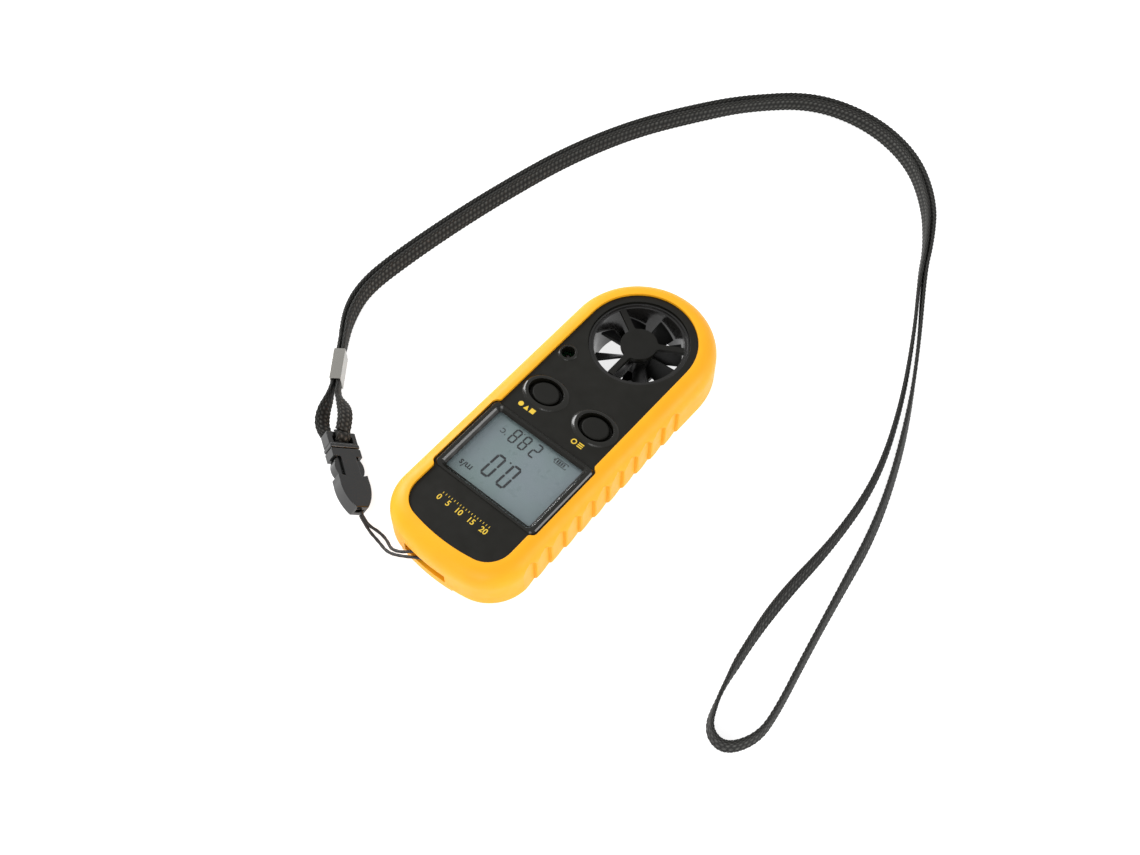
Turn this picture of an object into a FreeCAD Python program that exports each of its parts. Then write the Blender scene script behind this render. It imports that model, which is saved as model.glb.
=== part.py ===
"""Handheld weather meter: a vane anemometer on a neck lanyard, lying on its back.

Millimetres, +Z out of the display face, +Y towards the fan, origin at the bottom centre of the meter.
Each function returns one sub-part, and each sub-part is written to parts/NODE.step.
"""
import FreeCAD, Part
import math
import os

V = FreeCAD.Vector
UP = V(0, 0, 1)

# ---- case ----
BODY_LENGTH = 108.0
BODY_WIDTH = 43.7
BODY_HEIGHT = 14.5
PARTING_Z = 3.8            # back shell meets front shell
CORNER_RADIUS = 13.0       # lower corners, in plan
END_BOW_RADIUS = 60.0      # slight bow of the lower end
TOP_ROUND = 5.2
BOTTOM_ROUND = 2.2
WALL = 1.9
FLOOR = 1.6
FIT_GAP = 0.1              # between pieces fixed to each other
RUN_GAP = 0.3              # between pieces that move past each other
OVERCUT = 1.0              # how far a cut runs past the face it opens
LEVEL_SPARE = 1e-4         # slack in finding an edge by its height
UPRIGHT = 0.9              # an edge this steep counts as upright
HALF_WIDTH = BODY_WIDTH / 2
HALF_LENGTH = BODY_LENGTH / 2
FAN_Y = HALF_LENGTH - HALF_WIDTH

# ---- grip scales down both sides ----
GRIP_COUNT = 11
GRIP_PITCH = 5.91
GRIP_BELOW_FAN = 9.45      # from the fan's centre to the first scale's upper edge
GRIP_DEPTH = 0.95
GRIP_TOP_Z = 11.9
GRIP_ARCH = 3.9            # radius of each scale's arched top
GRIP_LIP = 0.45            # rounding of each scale's upper edge
GRIP_LIP_DEPTH = GRIP_DEPTH / 6

# ---- front panel ----
RIM_WIDTH = 5.37           # orange band round the panel
PANEL_SUNK = 0.7           # panel face below the top of the band
PANEL_THICKNESS = 1.2
FLANGE_TUCK = 1.95         # how far the panel's flange reaches under the band
FLANGE_THICKNESS = 1.0
CHANNEL_SPARE = 0.8        # room under the flange
PANEL_TOP = BODY_HEIGHT - PANEL_SUNK
PANEL_UNDER = PANEL_TOP - PANEL_THICKNESS
FLANGE_UNDER = PANEL_UNDER - FLANGE_THICKNESS

# ---- display ----
DISPLAY_BELOW_FAN = 52.45  # from the fan's centre to the display's centre
DISPLAY_Y = FAN_Y - DISPLAY_BELOW_FAN
RIDGE_INSET = 4.55         # ridge inside the case's sides
RIDGE_HALF = (HALF_WIDTH - RIDGE_INSET, 12.65)
BEZEL_MARGIN = (0.5, 0.15)  # panel beyond the ridge
BEZEL_CORNER = 1.5
BEZEL_JOG = 1.2            # rounding where the panel widens
RIDGE_BEVEL = 0.45
RIDGE_WIDTH = (2.7, 1.8)   # at the sides and at the ends
WINDOW_HALF = (RIDGE_HALF[0] - RIDGE_WIDTH[0], RIDGE_HALF[1] - RIDGE_WIDTH[1])
WINDOW_BEVEL = 1.2
WINDOW_CORNER = 0.6
PANE_LAP = 0.9
PANE_THICKNESS = 0.8
PANE_TOP = PANEL_TOP - 0.65
PANE_Z = (PANE_TOP - PANE_THICKNESS, PANE_TOP)
LCD_THICKNESS = 1.65
LCD_Z = (PANE_Z[0] - FIT_GAP - LCD_THICKNESS, PANE_Z[0] - FIT_GAP)
HOLDER_WALL = 1.2
CONNECTOR_INSET = 1.0
CONNECTOR_WIDTH = 1.4

# ---- fan ----
DUCT_BORE = 12.7
DUCT_WALL = 0.9
DUCT_FOOT = 0.2
DUCT_OUTSIDE = DUCT_BORE + DUCT_WALL
COLLAR_WIDTH = 1.5
FAN_RING_RADIUS = DUCT_BORE + COLLAR_WIDTH
COLLAR_TOP = PANEL_TOP - 0.6
COLLAR_THICKNESS = 1.2
COLLAR_STEP = (0.75, 0.45)  # width and depth of the collar's inner step
SPIDER_ARM_COUNT = 3
SPIDER_ARM_ANGLE = 30.0
SPIDER_ARM_WIDTH = 1.7
SPIDER_ARM_DEPTH = 1.3
SPIDER_HUB_RADIUS = 5.2
SPIDER_FILLET = 0.9
BOSS_LENGTH = 1.2
REAR_SPIDER_Z = 0.6
FRONT_SPIDER_Z = PANEL_TOP - 2.0
AXLE_RADIUS = 0.5
AXLE_CLEARANCE = 0.05
BEARING_RADIUS = 1.3
BEARING_SLEEVE = 0.9
BEARING_LENGTH = 1.4
AXLE_Z = (REAR_SPIDER_Z + SPIDER_ARM_DEPTH - FIT_GAP, FRONT_SPIDER_Z + FIT_GAP)
ROTOR_Z = (REAR_SPIDER_Z + SPIDER_ARM_DEPTH + BOSS_LENGTH + 1.6, FRONT_SPIDER_Z - BOSS_LENGTH - 0.9)
ROTOR_HUB_RADIUS = 4.3
ROTOR_TIP_GAP = 0.45
BLADE_COUNT = 8
BLADE_THICKNESS = 0.6
BLADE_MARGIN = 0.3         # blade edges inside the rotor's height
BLADE_ROOT_PITCH = 52.0
BLADE_TIP_PITCH = 36.0
BLADE_ROOT_SHARE = 0.8     # part of the full chord used at the root
BLADE_TIP_SHARE = 0.9
BLADE_PHASE = 41.0
MAGNET_RADIUS = 3.2
MAGNET_LENGTH = 1.5
MAGNET_GAP = 0.02
PICKUP_SIZE = (4.0, 1.6, 2.6)
PICKUP_GAP = 1.2

# ---- keys ----
KEY_X = 8.74
KEYS_BELOW_FAN = 29.5
KEY_Y = FAN_Y - KEYS_BELOW_FAN
KEY_CAP = (4.1, 3.35)      # half axes of each oval
KEY_WEB = (5.0, 3.8)
KEY_HOLE = (5.3, 4.1)
KEY_KEEPER = (6.35, 4.8)
# half axes and height of each level of the raised rim
KEY_RIM = ((7.3, 5.65, -0.1), (6.95, 5.35, 0.08), (6.45, 4.95, 0.4), (5.95, 4.55, 0.52))
KEY_PROUD = 0.1            # key above the panel
KEY_ROUND = 0.5
KEY_WEB_THICKNESS = 0.4
KEEPER_THICKNESS = 0.5
KEY_STEM_RADIUS = 1.5
KEY_TRAVEL = 0.7
KEY_TOP = PANEL_TOP + KEY_PROUD
SWITCH_HEIGHT = 1.1
SWITCH_CAN_HEIGHT = 0.7
SWITCH_HALF_WIDTH = 1.9
SWITCH_BUTTON_RADIUS = 1.1

# ---- air sensor ----
SENSOR_X = -12.9
SENSOR_BELOW_FAN = 15.35
SENSOR_Y = FAN_Y - SENSOR_BELOW_FAN
SENSOR_HOLE = 1.95
SENSOR_RIM = ((2.85, -0.1), (2.7, 0.1), (2.4, 0.3))  # radius and height
BEAD_RADIUS = 0.95
BEAD_DROP = 0.4            # bead centre below the panel's flange
LEAD_RADIUS = 0.22
LEAD_APART = 1.0

# ---- board and battery ----
BOARD_Z = (7.0, 8.0)
BOARD_INSET = 3.3
BOARD_BELOW_FAN = 10.15    # from the fan's centre to the board's top edge
CHIP_RADIUS = 8.0
CHIP_HEIGHT = 1.1
BATTERY_Y = DISPLAY_Y + 0.3
CELL_RADIUS = 10.0         # standard 2032 cell
CELL_THICKNESS = 3.2
CELL_Z = 2.2
CELL_RIM = 1.1             # can's crimped rim round the raised cap
CELL_CAP_HEIGHT = 0.45
HOLDER_GAP = 0.35
HOLDER_RING = 2.05
HOLDER_HOLE = 4.5
CONTACT_THICKNESS = 0.25
CONTACT_HALF_WIDTH = 2.4
CONTACT_GAP = 0.08
END_CONTACT_RADIUS = 3.6
COVER_RADIUS = CELL_RADIUS + 2.1
COVER_Z = (0.1, 1.5)
COVER_SKIRT = 0.9
COVER_PAD_RADIUS = 6.0
COVER_TURN = 35.0          # bayonet turn, degrees
COIN_SLOT = (14.0, 1.8, 0.8)
LUG_COUNT = 3
LUG_REACH = 1.5
LUG_ANGLE = 24.0
LUG_PLAY = 5.0             # how much wider the notches are, degrees
LUG_THICKNESS = 1.0

# ---- screws ----
CASE_SCREW_RADIUS = 0.9
UPPER_SCREW = (5.65, 20.15)  # in from the side and below the fan's centre
LOWER_SCREW = (7.85, 10.0)   # in from the side and up from the lower end
CASE_SCREWS = tuple(
    (side * (HALF_WIDTH - inset), y)
    for inset, y in ((UPPER_SCREW[0], FAN_Y - UPPER_SCREW[1]), (LOWER_SCREW[0], LOWER_SCREW[1] - HALF_LENGTH))
    for side in (1, -1))
BOARD_SCREW_RADIUS = 0.7
BOARD_SCREW_PLACE = (9.25, 15.8, 22.65)  # in from the side, up from the lower end, below the fan's centre
BOARD_SCREWS = tuple(
    (side * (HALF_WIDTH - BOARD_SCREW_PLACE[0]), BOARD_SCREW_PLACE[1] - HALF_LENGTH) for side in (-1, 1)
) + ((0.0, FAN_Y - BOARD_SCREW_PLACE[2]),)
BOSS_WALL = 1.3
BORE_ROOF = 1.6            # blind end of each screw bore below the panel
SCREW_SPARE = 1.4          # screw tip below the end of its bore
CASE_HEAD_HEIGHT = 0.6
BOARD_HEAD_HEIGHT = 0.8
CROSS_HALF = (1.1, 0.2)    # half length and half width of the driver recess
CROSS_DEPTH = 0.3

# ---- lanyard slot ----
SLOT_X = (-9.5, 5.2)
SLOT_TOP = 7.2
SLOT_DEPTH = 6.6
POST_X = -1.5
POST_INSET = 3.5
POST_RADIUS = 1.0

# ---- lanyard ----
STRING_DIAMETER = 0.9
STRING_ROUTE = (
    (-25.9, -53.1, 4.5), (-23.0, -54.4, 2.9), (-19.2, -53.4, 1.4), (-15.8, -53.9, 1.5),
    (-12.5, -55.6, 2.6), (-7.6, -54.4, 5.4), (-3.4, -48.6, 5.7), (0.3, -48.5, 5.6),
    (0.4, -52.4, 5.3), (-3.2, -52.5, 5.1), (-8.0, -55.5, 4.4), (-13.0, -56.6, 1.8),
    (-17.8, -55.4, 0.9), (-21.8, -55.0, 1.7), (-25.4, -53.9, 4.1),
)
STRAP_WIDTH = 4.6
STRAP_THICKNESS = 1.2
STRAP_BASE = 0.4
STRAP_ROUTE = (
    (-49.2, -42.0), (-53.4, -42.2), (-59.2, -39.0), (-59.9, -30.5),
    (-70.4, -16.8), (-76.3, -8.8), (-80.1, 2.1), (-79.3, 17.1), (-76.8, 37.2), (-73.3, 57.0),
    (-68.3, 79.3), (-60.0, 101.2), (-49.4, 119.5), (-37.5, 136.2), (-22.4, 150.4), (-2.5, 154.5),
    (16.4, 149.6), (30.7, 137.8), (39.4, 123.6), (45.0, 111.0),
    (57.8, 88.8), (71.4, 60.8), (81.0, 33.2), (85.2, 7.2), (88.3, -11.0), (91.2, -26.0),
    (91.8, -35.0), (87.3, -42.6), (81.0, -41.4), (78.0, -33.4), (75.6, -20.5),
    (73.9, -2.0), (75.1, 22.0), (72.6, 44.6), (63.5, 68.5), (52.6, 92.4),
    (43.4, 110.2), (37.8, 122.8), (29.3, 136.6), (15.6, 148.0), (-2.5, 152.7), (-21.6, 148.8),
    (-36.1, 135.0), (-47.8, 118.5), (-58.4, 100.4), (-66.5, 78.7), (-71.5, 56.6), (-75.0, 37.0),
    (-77.5, 16.9), (-78.3, 2.3), (-74.9, -8.0), (-69.4, -16.0),
    (-58.9, -29.7), (-52.4, -33.0), (-47.9, -36.0), (-47.2, -38.6),
)
CRIMP_CENTRE = (-64.3, -23.6)
CRIMP_TURN = -52.6
CRIMP_LENGTH = 10.3
CRIMP_WALL = 0.3
CRIMP_INSIDE = 2.65
CRIMP_ROUND = 0.25
ARC_SHARE = 0.45           # share of the shorter run that each arc of a cord takes

# ---- side-release buckle, in its own frame: x from strap end to tip, y across, z through ----
BUCKLE_ORIGIN = (-47.5, -40.3, 4.45)
BUCKLE_TURN = -31.5
BUCKLE_ROLL = 35.0
BUCKLE_LENGTH = 24.9
BUCKLE_WIDTH = 9.0
BUCKLE_THICKNESS = 4.2
BUCKLE_ROUND = 0.3
FRAME_LENGTH = 5.4
FRAME_THINNER = 0.3
FRAME_SLOT_X = (1.5, 3.7)
FRAME_SLOT_HALF = 3.1
SHOULDER_LENGTH = 1.2
GUIDE_LENGTH = 8.0
GUIDE_HALF = (0.8, 0.5)    # half width at the root and at the tip
SOCKET_WALL = 0.9
SOCKET_FACE = 0.6
SOCKET_DEPTH = 11.5
SOCKET_SHOULDER_X = 16.0   # where the ogive starts
SOCKET_BELLY = (21.6, 3.75)  # a point on the ogive
TIP_HALF_WIDTH = 1.9
STRING_HOLE = (2.6, 1.2, 0.7)  # depth, half width and half height
SIDE_WINDOW_X = (8.4, 15.0)
NOTCH_INNER = 2.3          # inner edge of the notch in the wide faces
NOTCH_SLANT = 1.1
ARM_THICKNESS = 2.6
ARM_STEM = 1.2
ARM_TAB_TIP = 0.7


def cylinder(radius, z_range, x=0.0, y=0.0):
    low, high = z_range
    return Part.makeCylinder(radius, high - low, V(x, y, low))


def ring(outer, inner, z_range, x=0.0, y=0.0):
    return cylinder(outer, z_range, x, y).cut(cylinder(inner, z_range, x, y))


def box(x_range, y_range, z_range):
    size = [high - low for low, high in (x_range, y_range, z_range)]
    return Part.makeBox(*size, V(x_range[0], y_range[0], z_range[0]))


def rounded_box(x_range, y_range, z_range, radius):
    """Box with rounded upright edges."""
    solid = box(x_range, y_range, z_range)
    upright = [e for e in solid.Edges if abs(e.tangentAt(e.FirstParameter).z) > UPRIGHT]
    return solid.makeFillet(radius, upright)


def oval(half_axes, z_range, x=0.0, y=0.0):
    low, high = z_range
    curve = Part.Ellipse(V(x, y, low), half_axes[0], half_axes[1])
    return Part.Face(Part.Wire(curve.toShape())).extrude(V(0, 0, high - low))


def mirrored(point):
    return V(-point.x, point.y, point.z)


def outline(inset, z):
    """Plan of the meter, moved inwards: round at the fan, rounded corners and a bowed end."""
    side = HALF_WIDTH - inset
    corner = CORNER_RADIUS - inset
    bow = END_BOW_RADIUS - inset
    bow_y = END_BOW_RADIUS - HALF_LENGTH
    corner_x = side - corner
    reach = bow - corner
    corner_y = bow_y - math.sqrt(reach ** 2 - corner_x ** 2)
    away = V(corner_x, corner_y - bow_y, 0) / reach
    low = V(0, bow_y, z) + away * bow
    turn = V(corner_x, corner_y, z)
    mid = (away + V(1, 0, 0)).normalize() * corner + turn
    right = V(side, corner_y, z)
    shoulder = V(side, FAN_Y, z)
    edges = [
        Part.LineSegment(right, shoulder).toShape(),
        Part.Arc(shoulder, V(0, FAN_Y + side, z), mirrored(shoulder)).toShape(),
        Part.LineSegment(mirrored(shoulder), mirrored(right)).toShape(),
        Part.Arc(mirrored(right), mirrored(mid), mirrored(low)).toShape(),
        Part.Arc(mirrored(low), V(0, bow_y - bow, z), low).toShape(),
        Part.Arc(low, mid, right).toShape(),
    ]
    return Part.Wire(edges)


def slab(inset, z_range):
    low, high = z_range
    return Part.Face(outline(inset, low)).extrude(V(0, 0, high - low))


def round_level(solid, z, radius):
    """Fillet every edge that lies flat at height z."""
    level = [e for e in solid.Edges if max(abs(e.BoundBox.ZMin - z), abs(e.BoundBox.ZMax - z)) < LEVEL_SPARE]
    return solid.makeFillet(radius, level)


def grip_cutters():
    """Grip scales down both sides: deepest at the upper edge, fading downwards, with an arched top."""
    cutters = []
    arch_middle = GRIP_ARCH * (1 - math.sqrt(0.5))
    for row in range(GRIP_COUNT):
        top = FAN_Y - GRIP_BELOW_FAN - row * GRIP_PITCH
        foot = top - GRIP_PITCH + GRIP_LIP
        edge = top + GRIP_LIP
        low_edge = V(0, edge, -OVERCUT)
        springing = V(0, edge, GRIP_TOP_Z - GRIP_ARCH)
        crown = V(0, edge - GRIP_ARCH, GRIP_TOP_Z)
        high_foot = V(0, foot, GRIP_TOP_Z)
        low_foot = V(0, foot, -OVERCUT)
        arch = [
            Part.LineSegment(low_edge, springing).toShape(),
            Part.Arc(springing, V(0, edge - arch_middle, GRIP_TOP_Z - arch_middle), crown).toShape(),
            Part.LineSegment(crown, high_foot).toShape(),
            Part.LineSegment(high_foot, low_foot).toShape(),
            Part.LineSegment(low_foot, low_edge).toShape(),
        ]
        for side in (-1, 1):
            face = side * HALF_WIDTH
            deep = side * (HALF_WIDTH - GRIP_DEPTH)
            lip = side * (HALF_WIDTH - GRIP_LIP_DEPTH)
            outer = side * (HALF_WIDTH + OVERCUT)
            hollow = [(face, foot), (deep, top - GRIP_LIP / 2), (lip, top), (face, edge)]
            plan = [(outer, foot)] + hollow + [(outer, edge)]
            wedge = plate(plan, (-OVERCUT, GRIP_TOP_Z + OVERCUT))
            tomb = Part.Face(Part.Wire(arch)).extrude(V(side * (HALF_WIDTH + 2 * OVERCUT), 0, 0))
            cutters.append(wedge.common(tomb))
    return cutters


def slot_block(z_range):
    """The thick wall round the lanyard slot, inside the case outline."""
    side = (SLOT_X[0] - WALL, SLOT_X[1] + WALL)
    depth = (-HALF_LENGTH - OVERCUT, -HALF_LENGTH + SLOT_DEPTH + WALL)
    return box(side, depth, z_range).common(slab(FIT_GAP, z_range))


def panel_outline(gap, z_range):
    """Panel in plan: follows the band, and widens at the display with rounded jogs."""
    side = RIDGE_HALF[0] + BEZEL_MARGIN[0] + gap
    along = RIDGE_HALF[1] + BEZEL_MARGIN[1] + gap
    bezel = rounded_box((-side, side), (DISPLAY_Y - along, DISPLAY_Y + along), z_range, BEZEL_CORNER)
    solid = slab(RIM_WIDTH - gap + FIT_GAP, z_range).fuse(bezel).removeSplitter()
    inner_corners = []
    for edge in solid.Edges:
        upright = abs(edge.tangentAt(edge.FirstParameter).z) > UPRIGHT
        place = edge.CenterOfMass
        at_band = abs(abs(place.x) - (HALF_WIDTH - RIM_WIDTH + gap - FIT_GAP)) < FIT_GAP
        at_bezel = abs(abs(place.y - DISPLAY_Y) - along) < FIT_GAP
        if upright and at_band and at_bezel:
            inner_corners.append(edge)
    return solid.makeFillet(BEZEL_JOG - gap, inner_corners)


def front_shell():
    solid = round_level(slab(0, (PARTING_Z, BODY_HEIGHT)), BODY_HEIGHT, TOP_ROUND)
    channel_foot = FLANGE_UNDER - CHANNEL_SPARE
    solid = solid.cut([
        slab(WALL, (PARTING_Z, channel_foot)),
        slab(RIM_WIDTH - FLANGE_TUCK - FIT_GAP, (channel_foot, PANEL_UNDER + FIT_GAP)),
        panel_outline(FIT_GAP, (PANEL_UNDER, BODY_HEIGHT + OVERCUT)),
    ])
    solid = solid.cut(grip_cutters())
    solid = solid.fuse(slot_block((PARTING_Z, SLOT_TOP + WALL)))
    mouth = (-HALF_LENGTH - OVERCUT, -HALF_LENGTH + SLOT_DEPTH)
    return solid.cut(box(SLOT_X, mouth, (PARTING_Z - OVERCUT, SLOT_TOP))).removeSplitter()


def lug_sectors(z_range, outer, turn, width):
    """Bayonet lugs, or the notches that let them out."""
    sectors = []
    for index in range(LUG_COUNT):
        start = index * 360.0 / LUG_COUNT + turn - width / 2
        low, high = z_range
        sector = Part.makeCylinder(outer, high - low, V(0, BATTERY_Y, low), UP, width)
        sector.rotate(V(0, BATTERY_Y, 0), UP, start)
        sectors.append(sector)
    return sectors


def back_shell():
    solid = round_level(slab(0, (0, PARTING_Z)), 0, BOTTOM_ROUND)
    solid = solid.cut([slab(WALL, (FLOOR, PARTING_Z + OVERCUT))] + grip_cutters())
    solid = solid.fuse(slot_block((FLOOR / 2, PARTING_Z)))
    seat = -HALF_LENGTH + POST_INSET
    solid = solid.fuse(cylinder(POST_RADIUS, (FLOOR, SLOT_TOP - FIT_GAP), POST_X, seat))
    through = (-OVERCUT, FLOOR + OVERCUT)
    cuts = [cylinder(COVER_RADIUS + RUN_GAP, through, 0, BATTERY_Y)]
    reach = COVER_RADIUS + LUG_REACH + RUN_GAP
    cuts += lug_sectors(through, reach, COVER_TURN, LUG_ANGLE + LUG_PLAY)
    cuts.append(cylinder(DUCT_OUTSIDE + FIT_GAP, (-OVERCUT, PARTING_Z), 0, FAN_Y))
    for x, y in CASE_SCREWS:
        cuts.append(cylinder(CASE_SCREW_RADIUS + FIT_GAP, (-OVERCUT, PARTING_Z), x, y))
        cuts.append(cylinder(2 * CASE_SCREW_RADIUS + FIT_GAP, (-OVERCUT, FLOOR / 2), x, y))
    return solid.cut(cuts).removeSplitter()


def framed(half_size, z_range, radius, margin=0.0):
    """Rounded block centred on the display."""
    side, along = (half + margin for half in half_size)
    return rounded_box((-side, side), (DISPLAY_Y - along, DISPLAY_Y + along), z_range, radius)


def ridge():
    """Raised frame round the display window."""
    outside = framed(RIDGE_HALF, (PANEL_UNDER, BODY_HEIGHT), BEZEL_CORNER)
    top_edges = [e for e in outside.Edges if e.BoundBox.ZMin > BODY_HEIGHT - FIT_GAP]
    return outside.makeChamfer(RIDGE_BEVEL, top_edges)


def window_opening():
    """Opening over the pane, with a wide bevel that slopes down to it."""
    sight = framed(WINDOW_HALF, (FLANGE_UNDER - OVERCUT, BODY_HEIGHT + OVERCUT), WINDOW_CORNER)
    foot = BODY_HEIGHT - WINDOW_BEVEL
    funnel = framed(WINDOW_HALF, (foot, BODY_HEIGHT + OVERCUT), WINDOW_CORNER + WINDOW_BEVEL, WINDOW_BEVEL)
    low_edges = [e for e in funnel.Edges if e.BoundBox.ZMax < foot + FIT_GAP]
    return sight.fuse(funnel.makeChamfer(WINDOW_BEVEL - FIT_GAP, low_edges))


def raised_rim(levels, x, y):
    """Soft raised rim: a smooth skin through level ovals of half axes (a, b) at each height."""
    wires = []
    for long_half, short_half, height in levels:
        curve = Part.Ellipse(V(x, y, PANEL_TOP + height), long_half, short_half)
        wires.append(Part.Wire(curve.toShape()))
    return Part.makeLoft(wires, True, False)


def front_panel():
    solid = panel_outline(0.0, (PANEL_UNDER, PANEL_TOP))
    solid = solid.fuse([slab(RIM_WIDTH - FLANGE_TUCK, (FLANGE_UNDER, PANEL_UNDER)), ridge()])
    bosses = [(x, y, CASE_SCREW_RADIUS, PARTING_Z - FLOOR) for x, y in CASE_SCREWS]
    bosses += [(x, y, BOARD_SCREW_RADIUS, BOARD_Z[1]) for x, y in BOARD_SCREWS]
    for x, y, radius, foot in bosses:
        solid = solid.fuse(cylinder(radius + BOSS_WALL, (foot, PANEL_UNDER), x, y))
    rims = [raised_rim(KEY_RIM, x, KEY_Y) for x in (-KEY_X, KEY_X)]
    sensor_levels = [(radius + LEVEL_SPARE, radius, height) for radius, height in SENSOR_RIM]
    rims.append(raised_rim(sensor_levels, SENSOR_X, SENSOR_Y))
    solid = solid.fuse(rims)
    through = (FLANGE_UNDER - OVERCUT, BODY_HEIGHT + OVERCUT)
    cuts = [oval(KEY_HOLE, through, x, KEY_Y) for x in (-KEY_X, KEY_X)]
    cuts.append(cylinder(SENSOR_HOLE, through, SENSOR_X, SENSOR_Y))
    cuts.append(cylinder(FAN_RING_RADIUS, through, 0, FAN_Y))
    cuts.append(window_opening())
    pocket = (FLANGE_UNDER - OVERCUT, PANE_Z[1] + FIT_GAP / 2)
    cuts.append(framed(WINDOW_HALF, pocket, FIT_GAP, PANE_LAP + FIT_GAP))
    for x, y, radius, foot in bosses:
        cuts.append(cylinder(radius - FIT_GAP, (foot - OVERCUT, PANEL_UNDER - BORE_ROOF), x, y))
    return solid.cut(cuts).removeSplitter()


def display_window():
    return framed(WINDOW_HALF, PANE_Z, PANE_LAP, PANE_LAP)


def display_cell():
    return framed(WINDOW_HALF, LCD_Z, FIT_GAP, PANE_LAP / 2)


def connector_y():
    """Where the two rubber connectors run, just inside the display's long edges."""
    reach = WINDOW_HALF[1] - CONNECTOR_INSET
    return DISPLAY_Y - reach, DISPLAY_Y + reach


def display_holder():
    height = (BOARD_Z[1], LCD_Z[0])
    outside = framed(WINDOW_HALF, height, FIT_GAP, PANE_LAP / 2)
    side = WINDOW_HALF[0] + PANE_LAP / 2 - HOLDER_WALL
    along = WINDOW_HALF[1] - CONNECTOR_INSET - CONNECTOR_WIDTH - FIT_GAP
    inside = box((-side, side), (DISPLAY_Y - along, DISPLAY_Y + along), height)
    grooves = [connector_bar(y, FIT_GAP) for y in connector_y()]
    return outside.cut([inside] + grooves)


def connector_bar(y, gap=0.0):
    reach = WINDOW_HALF[0] + PANE_LAP / 2 - HOLDER_WALL - CONNECTOR_WIDTH / 2 + gap
    half = CONNECTOR_WIDTH / 2 + gap
    return box((-reach, reach), (y - half, y + half), (BOARD_Z[1], LCD_Z[0]))


def zebra_connectors():
    return Part.makeCompound([connector_bar(y) for y in connector_y()])


def circuit_board():
    plate = slab(BOARD_INSET, BOARD_Z)
    beyond = box((-BODY_WIDTH, BODY_WIDTH), (FAN_Y - BOARD_BELOW_FAN, BODY_LENGTH), BOARD_Z)
    cuts = [beyond, cylinder(DUCT_OUTSIDE + PICKUP_GAP, BOARD_Z, 0, FAN_Y)]
    for x, y in CASE_SCREWS:
        cuts.append(cylinder(CASE_SCREW_RADIUS + BOSS_WALL + FIT_GAP, BOARD_Z, x, y))
    for x, y in BOARD_SCREWS:
        cuts.append(cylinder(BOARD_SCREW_RADIUS + FIT_GAP, BOARD_Z, x, y))
    slot_wall = -HALF_LENGTH + SLOT_DEPTH + WALL + FIT_GAP
    cuts.append(box((-BODY_WIDTH, BODY_WIDTH), (-BODY_LENGTH, slot_wall), BOARD_Z))
    return plate.cut(cuts)


def key(x):
    """Rubber key: oval cap, web that fills the ring, stem down to the switch."""
    web_top = PANEL_UNDER - FIT_GAP
    keeper_top = FLANGE_UNDER - 2 * FIT_GAP
    keeper_height = (keeper_top - KEEPER_THICKNESS, keeper_top)
    cap = round_level(oval(KEY_CAP, (keeper_height[0], KEY_TOP), x, KEY_Y), KEY_TOP, KEY_ROUND)
    web = oval(KEY_WEB, (web_top - KEY_WEB_THICKNESS, web_top), x, KEY_Y)
    keeper = oval(KEY_KEEPER, keeper_height, x, KEY_Y)
    stem = cylinder(KEY_STEM_RADIUS, (stem_foot(), FLANGE_UNDER), x, KEY_Y)
    return cap.fuse([web, keeper, stem]).removeSplitter()


def stem_foot():
    return BOARD_Z[1] + SWITCH_HEIGHT + KEY_TRAVEL + FIT_GAP


def key_switches():
    switches = []
    half = SWITCH_HALF_WIDTH
    can_height = (BOARD_Z[1], BOARD_Z[1] + SWITCH_CAN_HEIGHT)
    for x in (-KEY_X, KEY_X):
        can = box((x - half, x + half), (KEY_Y - half, KEY_Y + half), can_height)
        button = cylinder(SWITCH_BUTTON_RADIUS, (BOARD_Z[1], BOARD_Z[1] + SWITCH_HEIGHT), x, KEY_Y)
        switches.append(can.fuse(button))
    return Part.makeCompound(switches)


def board_chip():
    """Epoxy drop over the bonded controller."""
    drop = Part.makeSphere(CHIP_RADIUS, V(0, BATTERY_Y, BOARD_Z[1] + CHIP_HEIGHT - CHIP_RADIUS))
    return drop.common(cylinder(CHIP_RADIUS, (BOARD_Z[1], LCD_Z[0]), 0, BATTERY_Y))


def thermistor():
    centre = FLANGE_UNDER - BEAD_DROP
    bead = Part.makeSphere(BEAD_RADIUS, V(SENSOR_X, SENSOR_Y, centre))
    places = (SENSOR_X - LEAD_APART / 2, SENSOR_X + LEAD_APART / 2)
    return bead.fuse([cylinder(LEAD_RADIUS, (BOARD_Z[1], centre), x, SENSOR_Y) for x in places])


def fan_duct():
    """Wind duct with a stepped collar that fills the hole in the panel."""
    tube = ring(DUCT_OUTSIDE, DUCT_BORE, (DUCT_FOOT, COLLAR_TOP), 0, FAN_Y)
    collar = ring(FAN_RING_RADIUS - FIT_GAP, DUCT_BORE, (COLLAR_TOP - COLLAR_THICKNESS, COLLAR_TOP), 0, FAN_Y)
    width, depth = COLLAR_STEP
    step = cylinder(DUCT_BORE + width, (COLLAR_TOP - depth, COLLAR_TOP + OVERCUT), 0, FAN_Y)
    return tube.fuse(collar).cut(step).removeSplitter()


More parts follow.
